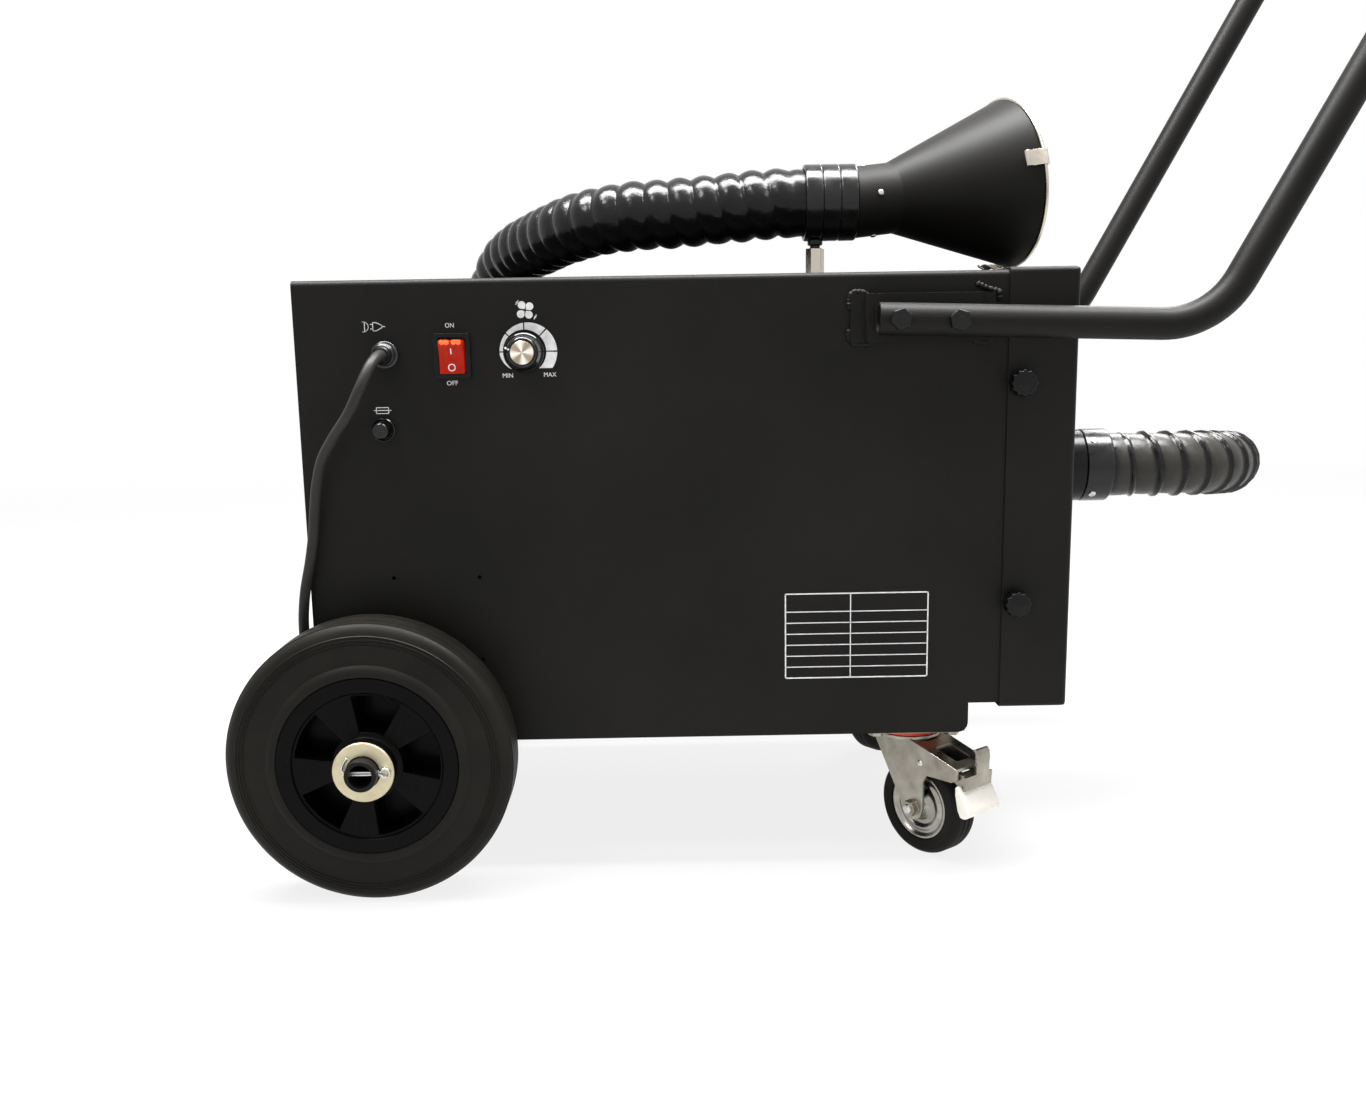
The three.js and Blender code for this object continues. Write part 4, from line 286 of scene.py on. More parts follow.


# PVC film, calendered and heat-shrunk over the wire: wet-looking gloss with pulls and small creases
# The second colour is a painted sheen, laid on the taut film between the wires near the inlet
FILM_BLACK, FILM_PAINTED_SHEEN = "#0c0b0b", "#2d2b27"
pvc_film, tree, shader = base_material("pvc_film_shrunk_on_wire", FILM_BLACK, 0.17,
                                       Specular_IOR_Level=0.24, IOR=1.52)
here = node(tree, "ShaderNodeTexCoord").outputs["Object"]
surface_grain(tree, shader, here, 95.0, 3.0, 0.5, 0.0012)
wiped = node(tree, "ShaderNodeTexNoise", {"Vector": here, "Scale": 30.0, "Detail": 4.0})
gloss = node(tree, "ShaderNodeMapRange", {0: wiped.outputs[0], 3: 0.12, 4: 0.3})
# Painted sheen: the taut film between the wires near the inlet is painted lighter for the broad
# reflection on it, and made rougher; the wires stay dark
painted_sheen = node(tree, "ShaderNodeAttribute", attribute_name="painted_sheen_wall").outputs["Fac"]
gloss = node(tree, "ShaderNodeMath", {0: painted_sheen, 1: 0.14, 2: gloss.outputs[0]}, operation="MULTIPLY_ADD")
tree.links.new(gloss.outputs[0], shader.inputs["Roughness"])
tint = node(tree, "ShaderNodeMix", {0: painted_sheen, 6: linear(FILM_BLACK), 7: linear(FILM_PAINTED_SHEEN)},
            data_type="RGBA")
tree.links.new(tint.outputs[2], shader.inputs["Base Color"])

HOSE_ROUTE = [spot(*p) for p in (
    (399.7, 145, 489.4), (372, 145, 489.4), (345, 145, 489), (322, 146.5, 487.6), (284, 151, 485),
    (256, 156, 483.6), (228, 164, 482.8), (202, 178, 480.3), (178, 201, 476.4), (153, 237, 470),
    (129, 276, 463), (109, 312, 450), (97, 334, 426), (92, 344, 392), (100, 345, 355), (122, 345, 318),
    (158, 345, 285), (205, 344, 258), (262, 343, 240), (330, 342, 228), (400, 341, 222), (470, 340, 224),
    (540, 338, 234), (600, 335, 247), (651, 332, 256), (698, 319.5, 261), (732, 286, 265.5),
    (745, 239, 270), (732, 192, 274), (698, 158, 277.4), (651, 145, 278.6), (624, 145, 278.6),
    (597.3, 145, 278.6))]
HOSE_ROUTE.reverse()
hose_line = smooth_route(HOSE_ROUTE, 2 * MM)
hose_length = length_of(hose_line)
# Plain ends, the pitch of the wire and the rings that draw one turn; radii of the bore, of the plain
# end and of the film where it is drawn in, and how far the wire lifts it
INLET_PLAIN, HOOD_PLAIN, WIRE_PITCH, TURN_RINGS = 22 * MM, 34 * MM, 18.9 * MM, 16
HOSE_BORE, HOSE_PLAIN, FILM_IN, FILM_LIFT = 22.2 * MM, 25.6 * MM, 23.9, 3.2
# The hose is pulled out up to the first share of its length from the inlet, and pushed together from
# the second on. In each turn the wire lies at the next share, so wide, and the bare film from the last.
PULLED_TO, PUSHED_FROM, WIRE_AT, WIRE_WIDE, FILM_FROM = 0.35, 0.55, 0.12, 0.09, 0.28
ribs = math.floor((hose_length - INLET_PLAIN - HOOD_PLAIN) / WIRE_PITCH)
rib = (hose_length - INLET_PLAIN - HOOD_PLAIN) / ribs


def ramp(value, low, high):
    """0 up to low, 1 from high, even in between."""
    return min(max((value - low) / (high - low), 0), 1)


def hose_radius(along, angle, radius):
    """Bulges between the turns of the wire, tight and rounder where the hose is pushed together."""
    ribbed = along - INLET_PLAIN
    if ribbed < 0 or along > hose_length - HOOD_PLAIN or radius < HOSE_PLAIN:
        return radius
    t = (ribbed / rib - angle / (2 * math.pi)) % 1.0
    full = math.sin(math.pi * t) ** 0.8
    wire = math.exp(-((t - WIRE_AT) / WIRE_WIDE) ** 2)
    wall = 0.12 + 0.22 * math.sin(math.pi * ramp(t, FILM_FROM, 1))
    taut = max(wall * (1 - math.exp(-((t - FILM_FROM) / 0.05) ** 2)), wire)
    pushed = ramp(along / hose_length, PULLED_TO, PUSHED_FROM)
    shape = full * pushed + taut * (1 - pushed)
    spread = noise.noise(Vector((math.cos(angle) * 1.7, math.sin(angle) * 1.7, along * 70)))
    ease = min(ribbed / rib, (hose_length - HOOD_PLAIN - along) / rib, 1)
    return (FILM_IN + ease * (FILM_LIFT * shape + 0.6 * spread * full) + (1 - ease) * 1.7) * MM


def painted_sheen_wall(along, angle):
    """Where the sheen is painted: 1 on the taut film between the wires near the inlet, 0 on the wires
    and on the pushed part.
    """
    ribbed = along - INLET_PLAIN
    if ribbed < 0:
        return 0.0
    t = (ribbed / rib - angle / (2 * math.pi)) % 1.0
    pulled = 1 - ramp(along / hose_length, PULLED_TO, PUSHED_FROM)
    return pulled * ramp(t, 0.26, 0.35) * (1 - ramp(t, 0.91, 1))


hose_ends = [(0.06, HOSE_BORE), (0.03, HOSE_BORE), (0.0, HOSE_BORE), (0.0, HOSE_PLAIN)]
hose_rings = hose_ends + [(INLET_PLAIN * i / 4, HOSE_PLAIN) for i in range(1, 4)]
hose_rings += [(INLET_PLAIN + rib * i / TURN_RINGS, HOSE_PLAIN) for i in range(TURN_RINGS * ribs + 1)]
hose_rings += [(hose_length - HOOD_PLAIN * i / 4, HOSE_PLAIN) for i in range(3, 0, -1)]
hose_rings += [(hose_length - inward, radius) for inward, radius in reversed(hose_ends)]
hose = piece("ribbed_hose", swept(hose_line, hose_rings, 40, hose_radius, painted_sheen_wall), pvc_film,
             "chassis", ["extraction_hose"], sharp=80, weighted=False)
[tuple(p) for p in even_route(hose_line, 20 * MM)]


# ---- Mains lead --------------------------------------------------------------------------------
# A round three-core lead with a matt black PVC jacket. It leaves the strain relief, hangs along the
# cabinet's front edge and lies coiled on the floor behind the front wheel, ending in its plug.

CORD_R = 3.75
LEAD_POINTS = [spot(*p) for p in (
    (62.4, -19.3, 379), (62, -26, 377.6), (59.8, -34.5, 373), (54.5, -41.5, 360), (44.5, -39, 341.5),
    (31.5, -30, 325.5), (20.5, -22, 310), (13.5, -15, 292), (9.5, -10.5, 273), (6.5, -8.2, 253.5),
    (2.6, -7, 234.5), (-2, -6.3, 215.5), (-4.8, -5.2, 197), (-6.4, -1.5, 180), (-8.4, 6, 162),
    (-9.6, 16, 138), (-9.4, 27, 112), (-7.5, 38, 84), (-3.5, 49, 56), (4, 60, 31), (15, 69, 13),
    (27, 75, 5.2), (36, 76, 3.85), (42.7, 76, 3.85))]
lead_line = [spot(62.4, -14.3, 379), *smooth_route(LEAD_POINTS, 3 * MM), spot(45, 76, 3.85)]

# The stored length: two flat layers wound in and out, then the end turned in on top of the coil
COIL_X, COIL_Y, COIL_FLOOR = 50, 130, CORD_R + 0.1
COIL_OUT, COIL_IN, LAYER, TURN_STEPS = 54.0, 32.8, 8.1, 24
TURN_IN, TURN_IN_STEPS, PLUG_HALF = 31.0, 12, 18


def round_from(x, y, radius, angle, z):
    """A point at an angle on a level circle round (x, y)."""
    return spot(x + radius * math.cos(angle), y + radius * math.sin(angle), z)


turn_angle, turn_radius, turn_level = -math.pi / 2, COIL_OUT, COIL_FLOOR
coil_line = [spot(COIL_X, COIL_Y - COIL_OUT, COIL_FLOOR)]
for turns, radius_to, rise in (
    (2.25, COIL_IN, 0), (0.5, COIL_IN, LAYER), (2.25, COIL_OUT, 0), (0.5, COIL_OUT, LAYER),
):
    steps = round(turns * TURN_STEPS)
    start_radius, start_level = turn_radius, turn_level
    for i in range(1, steps + 1):
        turn_angle += 2 * math.pi / TURN_STEPS
        turn_radius = start_radius + (radius_to - start_radius) * i / steps
        turn_level = start_level + rise * i / steps
        coil_line.append(round_from(COIL_X, COIL_Y, turn_radius, turn_angle, turn_level))
plug_height = COIL_FLOOR + LAYER + CORD_R + 0.3 + PLUG_HALF
middle_x = COIL_X + (turn_radius - TURN_IN) * math.cos(turn_angle)
middle_y = COIL_Y + (turn_radius - TURN_IN) * math.sin(turn_angle)
for i in range(1, TURN_IN_STEPS + 1):
    rise = (plug_height - turn_level) * min(1, i / TURN_IN_STEPS * 1.1)
    coil_line.append(round_from(middle_x, middle_y, TURN_IN, turn_angle + math.pi * i / TURN_IN_STEPS,
                                turn_level + rise))

# PVC jacket, extruded: matt with a faint grain, and dusty where it has been pulled over floors
pvc_jacket, tree, shader = base_material("pvc_cable_jacket_extruded", "#1f1e1d", 0.5,
                                         Specular_IOR_Level=0.25)
here = node(tree, "ShaderNodeTexCoord").outputs["Object"]
dust = node(tree, "ShaderNodeTexNoise", {"Vector": here, "Scale": 60.0, "Detail": 4.0})
tint = node(tree, "ShaderNodeMix", {0: dust.outputs[0], 6: linear("#1b1a19"), 7: linear("#2a2826")},
            data_type="RGBA")
tree.links.new(tint.outputs[2], shader.inputs["Base Color"])
surface_grain(tree, shader, here, 900.0, 2.0, 0.25, 0.0002)

whole_lead = smooth_route(even_route([*lead_line, *coil_line], 8 * MM), 3 * MM)


def even_rings(line, radius, skip=0):
    """A ring of one radius at each point of an even line, leaving out skip rings at both ends."""
    long, last = length_of(line), len(line) - 1
    return [(long * i / last, radius) for i in range(skip, last + 1 - skip)]


lead_rings = even_rings(whole_lead, CORD_R * MM)
lead = piece("mains_lead", swept(whole_lead, lead_rings, 14), pvc_jacket, "chassis",
             ["power_cord", "cord_coil"], sharp=80, weighted=False)


def stand(body, axis, centre):
    """Moves a shape made upright at the origin to its centre, its top turned along an axis."""
    turn = Vector((0, 0, 1)).rotation_difference(Vector(axis)).to_matrix().to_4x4()
    bmesh.ops.transform(body, matrix=Matrix.Translation(centre) @ turn, verts=body.verts)
    return body


def turned(profile, axis, centre, steps=72):
    """A turned part: (radius, level) pairs in mm, spun round an axis through the centre."""
    body = bmesh.new()
    verts = [body.verts.new((max(radius, 0) * MM, 0, level * MM)) for radius, level in profile]
    edges = [body.edges.new(pair) for pair in zip(verts, verts[1:])]
    bmesh.ops.spin(body, geom=verts + edges, cent=(0, 0, 0), axis=(0, 0, 1), angle=2 * math.pi,
                   steps=steps, use_merge=True)
    bmesh.ops.remove_doubles(body, verts=body.verts, dist=1e-7)
    return stand(body, axis, centre)


def joined(parts):
    """Several closed meshes as one."""
    whole = bmesh.new()
    for part in parts:
        holding = bpy.data.meshes.new("part")
        part.to_mesh(holding)
        part.free()
        whole.from_mesh(holding)
        bpy.data.meshes.remove(holding)
    return whole


# Plug: soft PVC moulded on the lead, with a ribbed grip and two nickelled brass pins
plug_end = coil_line[-1]
plug_way = (coil_line[-1] - coil_line[-2]).normalized()
plug_way.z = 0
plug_way.normalize()
moulded_pvc, tree, shader = base_material("moulded_pvc_black", "#161617", 0.38)
here = node(tree, "ShaderNodeTexCoord").outputs["Object"]
surface_grain(tree, shader, here, 700.0, 2.0, 0.3, 0.0002)
plug_body = turned([
    (0, 0.3), (4.6, 0.3), (5.3, 1.2), (5.4, 4), (4.9, 4.6), (4.9, 5.4), (5.6, 6), (5.8, 9), (5.2, 9.6),
    (5.2, 10.4), (6.2, 11), (8.6, 12.2), (9.8, 13.4), (10.6, 16), (11.6, 20), (12.6, 22.6), (14.4, 25),
    (15.8, 27), (17.2, 30), (17.7, 32), (17.7, 42.4), (17.3, 43.4), (16.4, 44), (10.6, 44), (10.2, 43.2),
    (0, 43.2),
], plug_way, plug_end, 64)
plug = piece("plug_body", plug_body, moulded_pvc, "chassis", ["mains_plug"])

# Nickel plate over brass: bright, almost white, softened by handling
nickel, tree, shader = base_material("nickel_plated_brass", "#c9c2b4", 0.2, Metallic=1.0)
here = node(tree, "ShaderNodeTexCoord").outputs["Object"]
rub = node(tree, "ShaderNodeTexNoise", {"Vector": here, "Scale": 220.0, "Detail": 5.0})
tree.links.new(node(tree, "ShaderNodeMapRange", {0: rub.outputs[0], 3: 0.14, 4: 0.34}).outputs[0],
               shader.inputs["Roughness"])
plug_side = Vector((0, 0, 1)).cross(plug_way)
PIN_OFF_AXIS = 9.5
pin_profile = [(0, 42), (2.4, 42), (2.4, 61), (2.2, 62.2), (1.5, 63), (0, 63.2)]
pins = [turned(pin_profile, plug_way, plug_end + plug_side * offset * MM, 24)
        for offset in (-PIN_OFF_AXIS, PIN_OFF_AXIS)]
plug_pins = piece("plug_pins", joined(pins), nickel, "chassis")

# Strain relief: a two-part bushing of nylon 66, smooth and slightly glossy, clamped on the lead where
# it comes out of the panel
FORWARD = (0, -1, 0)
nylon, tree, shader = base_material("nylon_66_moulded_black", "#101011", 0.24)
here = node(tree, "ShaderNodeTexCoord").outputs["Object"]
surface_grain(tree, shader, here, 160.0, 3.0, 0.15, 0.0004)
gland = turned([
    (0, -8), (7.2, -8), (7.2, 0.3), (9.0, 0.3), (9.4, 0.7), (9.4, 3.0), (9.0, 3.5), (7.9, 4.1), (7.6, 5),
    (7.6, 6.4), (7.1, 7), (7.1, 7.8), (7.5, 8.3), (7.4, 9.4), (6.8, 9.9), (6.5, 10.6), (6.4, 11.6),
    (5.6, 12.6), (4.9, 14), (3.8, 14), (3.8, 9), (0, 9),
], FORWARD, spot(62.4, 0, 379), 48)
piece("strain_relief", gland, nylon, "chassis", ["cable_gland"])
[tuple(p) for p in even_route(whole_lead, 6 * MM)]


# ---- Cabinet -----------------------------------------------------------------------------------
# The shell is one 1.5 mm steel sheet, cut and folded into front, top and rear. The slotted end
# panel, the floor pan and the cap over the filter end are folded too, and all are powder coated.

def finish(name, dark, light, patch, rough, grain, depth, **settings):
    """A material whose colour and gloss drift over patches, with a fine texture in its surface.
    patch, grain and depth are in mm, rough is the range of its roughness."""
    made, tree, shader = base_material(name, light, rough[0], **settings)
    here = node(tree, "ShaderNodeTexCoord").outputs["Object"]
    drift = node(tree, "ShaderNodeTexNoise", {"Vector": here, "Scale": 1000.0 / patch, "Detail": 4.0})
    share = node(tree, "ShaderNodeMapRange", {0: drift.outputs[0], 1: 0.3, 2: 0.7})
    tint = node(tree, "ShaderNodeMix", {0: share.outputs[0], 6: linear(dark), 7: linear(light)},
                data_type="RGBA")
    tree.links.new(tint.outputs[2], shader.inputs["Base Color"])
    gloss = node(tree, "ShaderNodeMapRange", {0: share.outputs[0], 3: rough[0], 4: rough[1]})
    tree.links.new(gloss.outputs[0], shader.inputs["Roughness"])
    surface_grain(tree, shader, here, 1000.0 / grain, 2.0, 0.6, depth * MM)
    return made


# Polyester powder, fine texture, baked: satin black that breaks up every reflection. Its 0.3 mm
# grain is drawn at 0.9 mm, so that it shows at the distance of the photograph.
powder_coat = finish("polyester_powder_coat_fine_texture", "#11100f", "#181715", 130, (0.42, 0.52),
                     0.9, 0.1, Specular_IOR_Level=0.13)


def rounded(body, edges, size, segments):
    """Rounds edges off by size mm."""
    bmesh.ops.bevel(body, geom=edges, offset=size * MM, offset_type="OFFSET", segments=segments,
                    profile=0.5, affect="EDGES", clamp_overlap=True, material=-1)


def dressed(name, solid, surface, rides, edge=0.4, segments=2, sharp=35):
    """A copy of a sheet or moulded solid, with its facets merged and its edges rounded by edge mm."""
    body = bmesh.new()
    body.from_mesh(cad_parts[solid].data)
    bmesh.ops.remove_doubles(body, verts=body.verts, dist=1e-6)
    bmesh.ops.dissolve_limit(body, angle_limit=math.radians(1), verts=body.verts, edges=body.edges,
                             use_dissolve_boundaries=False, delimit=set())
    edges = [e for e in body.edges
             if len(e.link_faces) == 2 and e.calc_face_angle() > math.radians(sharp)]
    rounded(body, edges, edge, segments)
    return piece(name, body, surface, rides, [solid], sharp=40)


for name, solid, fold, segments in (
    ("cabinet_shell", "cabinet_wrapper", 0.45, 2), ("exhaust_panel", "exhaust_end_panel", 0.4, 2),
    ("floor_pan", "base_pan", 0.3, 2), ("filter_cap", "filter_door", 0.6, 3),
):
    dressed(name, solid, powder_coat, "chassis", fold, segments)


# ---- Filter chamber and fan --------------------------------------------------------------------
# Behind the cap: a slatted spark baffle, a pleated cartridge in a galvanised frame and a bulkhead,
# then the scroll fan on its motor. They are seen only with the cap off, through the inlet or slots.

def coat(surface, *solids):
    """Gives solids that keep their own shape a material."""
    for solid in solids:
        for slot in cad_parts[solid].material_slots:
            slot.material = surface


# Hot-dip galvanised sheet: dull blue-grey with a spangle of crystals 8 mm across
galvanised, tree, shader = base_material("hot_dip_galvanised_sheet", "#9da1a3", 0.4, Metallic=1.0)
here = node(tree, "ShaderNodeTexCoord").outputs["Object"]
spangle = node(tree, "ShaderNodeTexVoronoi", {"Vector": here, "Scale": 1000.0 / 8})
tint = node(tree, "ShaderNodeMix", {
    0: spangle.outputs["Distance"], 6: linear("#8d9194"), 7: linear("#b4b7b8"),
}, data_type="RGBA")
tree.links.new(tint.outputs[2], shader.inputs["Base Color"])
facet = node(tree, "ShaderNodeSeparateColor", {0: spangle.outputs["Color"]})
gloss = node(tree, "ShaderNodeMapRange", {0: facet.outputs[0], 3: 0.3, 4: 0.52})
tree.links.new(gloss.outputs[0], shader.inputs["Roughness"])
coat(galvanised, "filter_bulkhead", "filter_frame", "spark_baffle", "fan_housing", "fan_impeller")

# Die-cast aluminium under grey stoving enamel, slightly orange-peeled
coat(finish("stoving_enamel_on_cast_aluminium", "#585c5e", "#64686a", 60, (0.35, 0.45), 3.0, 0.08),
     "fan_motor")

# Glass-fibre filter paper: felted fibres 0.6 mm apart, warm white and quite matt
coat(finish("glass_fibre_filter_paper", "#ddd8cb", "#ebe7dc", 25, (0.85, 0.95), 0.6, 0.08),
     "filter_media")

# Closed-cell EPDM foam strip: charcoal, with open pores 0.9 mm across where it was cut
coat(finish("closed_cell_epdm_foam", "#1c1c1d", "#28282a", 12, (0.85, 0.95), 0.9, 0.2), "door_gasket")

# Phenolic potentiometer case: brown-black, pressed smooth
coat(finish("pressed_phenolic", "#1f1a17", "#2a231f", 10, (0.35, 0.5), 1.5, 0.03), "speed_control")


# ---- Push handle -------------------------------------------------------------------------------
# Two hat-shaped brackets are arc welded on the cabinet before coating. One 22 mm tube, cold bent
# and coated with them, lies along both and is held by two hexagon bolts a side.

for side in ("front", "rear"):
    dressed(f"bracket_{side}", f"handle_bracket_{side}", powder_coat, "chassis", 0.8, 3)

BEAD_R, WEAVE_LAP, RUN_OUT = 2.0 * MM, 3.3 * MM, 1.6 * MM


def weld(points):
    """A hand-laid arc weld: a bead that swells and thins with each lap of the weave."""
    line = smooth_route(points, 0.35 * MM)
    long = length_of(line)

    def bulge(along, angle, size):
        end = min(1, (along + 0.3 * MM) / RUN_OUT, (long - along + 0.3 * MM) / RUN_OUT)
        wander = noise.noise(points[0] * 900 + Vector((along * 700, 0, 0)))
        weave = math.sin(2 * math.pi * along / WEAVE_LAP)
        return size * math.sqrt(max(end, 0.1)) * (1 + 0.07 * weave + 0.4 * wander)

    return swept(line, even_rings(line, BEAD_R), 10, bulge)


# Where the runs lie round a bracket, (x, z) in mm: at its left end, up and down, and at its right end
bead_runs = (
    ((383.6, 404), (383.2, 411), (385.2, 415.6), (390.4, 416.4), (396.5, 414.6)),
    ((383.3, 391.5), (383, 386), (385.4, 382), (392, 380.9), (401, 381.8)),
    ((470.5, 421.2), (476, 418.6), (482, 416.3), (486, 415), (486.6, 409)),
    ((469, 382.4), (474.5, 381.2), (480, 381.6), (484.6, 384.5)),
)
for side, panel_y in (("front", -1), ("rear", CABINET_DEEP + 1)):
    beads = [weld([spot(x, panel_y, z) for x, z in run]) for run in bead_runs]
    piece(f"bracket_welds_{side}", joined(beads), powder_coat, "chassis", sharp=80,
          weighted=False)


ARC_STEPS = 24


def bent_route(corners, radius, step):
    """A tube's middle line: straight between its corners, with an arc of the bend radius at each."""
    line = [corners[0]]
    for before, corner, after in zip(corners, corners[1:], corners[2:]):
        a, b = (before - corner).normalized(), (after - corner).normalized()
        half = a.angle(b) / 2
        start = corner + a * radius / math.tan(half)
        middle = corner + (a + b).normalized() * radius / math.sin(half)
        arc = math.pi - 2 * half
        line += [middle + Matrix.Rotation(-arc * i / ARC_STEPS, 3, a.cross(b)) @ (start - middle)
                 for i in range(ARC_STEPS + 1)]
    return even_route([*line, corners[-1]], step)


TUBE_R, TUBE_BORE, TUBE_BEND, LEG, RISER = 11 * MM, 9 * MM, 57 * MM, 227, 599
TUBE_OUT, DEBURRED = 22.5, 0.4 * MM
droop, slope = math.radians(1.9), math.radians(61.3)
tube_end = Vector((400, -TUBE_OUT, 398))
elbow = tube_end + LEG * Vector((math.cos(droop), 0, -math.sin(droop)))
grip = elbow + RISER * Vector((math.cos(slope), 0, math.sin(slope)))
corners = [tube_end, elbow, grip]
corners += [corner + Vector((0, CABINET_DEEP + 2 * TUBE_OUT, 0)) for corner in reversed(corners)]
tube_line = bent_route([spot(*corner) for corner in corners], TUBE_BEND, 4 * MM)
tube_long = length_of(tube_line)
tube_mouth = [(0.12, TUBE_BORE), (0.0, TUBE_BORE), (0.0, TUBE_R - DEBURRED), (0.0003, TUBE_R)]
tube_rings = tube_mouth + even_rings(tube_line, TUBE_R, 1)
tube_rings += [(tube_long - inward, radius) for inward, radius in reversed(tube_mouth)]
piece("push_handle_tube", swept(tube_line, tube_rings, 36), powder_coat, "chassis",
      ["handle_tube"])


def hexagon_head(across_flats, height, centre, axis, chamfer=0.7, turn=0.0):
    """A hexagon head or nut standing on centre along axis, its top corners turned off."""
    body = bmesh.new()
    corner = across_flats / math.sqrt(3) * MM
    bmesh.ops.create_cone(body, cap_ends=True, segments=6, radius1=corner, radius2=corner,
                          depth=height * MM)
    rounded(body, [e for e in body.edges if all(v.co.z > 0 for v in e.verts)], chamfer, 3)
    rounded(body, [e for e in body.edges if e.calc_face_angle(0) > math.radians(50)], 0.25, 2)
    bmesh.ops.rotate(body, matrix=Matrix.Rotation(turn, 3, "Z"), verts=body.verts)
    bmesh.ops.translate(body, vec=(0, 0, height * MM / 2), verts=body.verts)
    return stand(body, axis, centre)


# Black oxide on a grade 8.8 bolt: an oily blue-black that shines on its turned corners
black_oxide = finish("black_oxide_on_steel_bolt", "#050505", "#090909", 6, (0.16, 0.3), 0.8, 0.05,
                     Specular_IOR_Level=0.3)
# On each side: the bolts' heads on the tube, a low boss on top of each, and the nuts in the bracket.
# Each was tightened to an angle of its own, for which its x stands in.
BOLTS_X, HEAD_OUT, TOP_OUT, NUT_OUT = (413.4, 452.6), 32.3, 38.0, 5
PANELS = (("front", 0, -1), ("rear", CABINET_DEEP, 1))
for side, panel_y, out in PANELS:
    heads = []
    for x in BOLTS_X:
        z = tube_end.z - (x - tube_end.x) * math.tan(droop)
        head, top, nut = (spot(x, panel_y + out * far, z) for far in (HEAD_OUT, TOP_OUT, NUT_OUT))
        heads.append(hexagon_head(13, 5.8, head, (0, out, 0), 0.9, x))
        heads.append(turned([(0, 0), (2.9, 0), (2.9, 0.25), (2.5, 0.5), (0, 0.5)], (0, out, 0), top, 24))
        heads.append(hexagon_head(11, 6.4, nut, (0, out, 0), 0.7, x))
    piece(f"handle_bolts_{side}", joined(heads), black_oxide, "chassis")


# ---- Filter cap screws -------------------------------------------------------------------------
# Four thumb screws clamp the cap: a zinc-plated stud in a moulded black nylon head, with twelve
# flutes round its rim for the fingers.

moulded_nylon = finish("glass_filled_nylon_moulded", "#070707", "#0c0c0c", 9, (0.18, 0.3), 1.6, 0.05,
                       Specular_IOR_Level=0.2)
CAP_SCREW_X, CAP_SCREW_LEVELS = 503, (("upper", 353), ("lower", 197))
FLUTES, FLUTE_DEPTH, FLUTED_FROM = 12, 0.055, 7.5 * MM
for side, panel_y, out in PANELS:
    for level, z in CAP_SCREW_LEVELS:
        place = spot(CAP_SCREW_X, panel_y, z)
        head = turned([
            (0, -12), (2.1, -12), (2.4, -11.4), (2.4, 2.2), (5.4, 2.2), (5.6, 3.3), (8.2, 3.5),
            (8.9, 4.1), (9.2, 5.2), (9.2, 11.8), (8.9, 13.1), (8.2, 13.9), (7.2, 14.2), (6.0, 14.1),
            (5.2, 14.3), (3.6, 14.8), (1.8, 15.05), (0, 15.1),
        ], (0, out, 0), place, 96)
        for vert in head.verts:
            off = vert.co - place
            if math.hypot(off.x, off.z) > FLUTED_FROM:
                grown = 1 + FLUTE_DEPTH * math.cos(FLUTES * math.atan2(off.z, off.x))
                vert.co = place + Vector((off.x * grown, off.y, off.z * grown))
        piece(f"cap_screw_{side}_{level}", head, moulded_nylon, f"door_screw_{side}_{level}",
              [f"door_knob_{side}_{level}"], sharp=50)


# ---- Controls ----------------------------------------------------------------------------------
# A lit rocker switch snapped into the panel, a turn knob on a potentiometer, and a panel fuse
# holder with a bayonet cap. Their marks are screen printed in white on the powder coat.

dressed("switch_bezel", "switch_body", moulded_nylon, "chassis", 0.35)

# Transparent red polycarbonate over a neon lamp: glossy, deep, glowing a little of itself
lit_red = finish("red_polycarbonate_lit", "#6e0d03", "#901c06", 3, (0.16, 0.28), 2.0, 0.03, IOR=1.585,
                 Specular_IOR_Level=0.1, Emission_Color=linear("#ff2a00"), Emission_Strength=0.17)
dressed("rocker_cap", "switch_rocker", lit_red, "rocker", 0.5, 3)


def shift(x, y, z, start=Vector((0, 0, 0))):
    """A move by x, y and z mm, from a starting point in the frame where one is given."""
    return Matrix.Translation(start + Vector((x, y, z)) * MM)


def lean(degrees, axis="X"):
    """A turn round one of the three axes."""
    return Matrix.Rotation(math.radians(degrees), 4, axis)


def thickened(body, thick, place):
    """A flat shape made a plate thick mm deep, towards the back where thick is above 0, and placed."""
    raised = bmesh.ops.extrude_face_region(body, geom=body.faces[:], use_keep_orig=True)["geom"]
    bmesh.ops.translate(body, vec=(0, thick * MM, 0),
                        verts=[v for v in raised if isinstance(v, bmesh.types.BMVert)])
    bmesh.ops.transform(body, matrix=place, verts=body.verts)
    return body


def flat_shape(points, thick, place):
    """A thin plate cut to an outline: (x, z) mm seen from the front, standing thick mm proud."""
    body = bmesh.new()
    body.faces.new([body.verts.new((x * MM, 0, z * MM)) for x, z in points])
    return thickened(body, -thick, place)


def bar(half_wide, half_high, thick, place, middle=0):
    """A rectangle standing proud, its middle moved sideways by middle mm."""
    return flat_shape([(middle - half_wide, -half_high), (middle + half_wide, -half_high),
                       (middle + half_wide, half_high), (middle - half_wide, half_high)], thick, place)


def round_shape(radius, steps=28, centre=(0, 0), start=0.0, end=2 * math.pi):
    """Points of an arc or a circle, (x, z) mm."""
    return [(centre[0] + radius * math.cos(start + (end - start) * i / steps),
             centre[1] + radius * math.sin(start + (end - start) * i / steps)) for i in range(steps)]


def strip(inner, outer, thick, place):
    """A flat band between two lines of (x, z) mm that have the same number of points."""
    body = bmesh.new()
    bmesh.ops.create_grid(body, x_segments=len(inner) - 1, y_segments=1, size=1)
    for vert in body.verts:
        line = outer if vert.co.y > 0 else inner
        x, z = line[round((vert.co.x + 1) / 2 * (len(inner) - 1))]
        vert.co = (x * MM, 0, z * MM)
    return thickened(body, -thick, place)


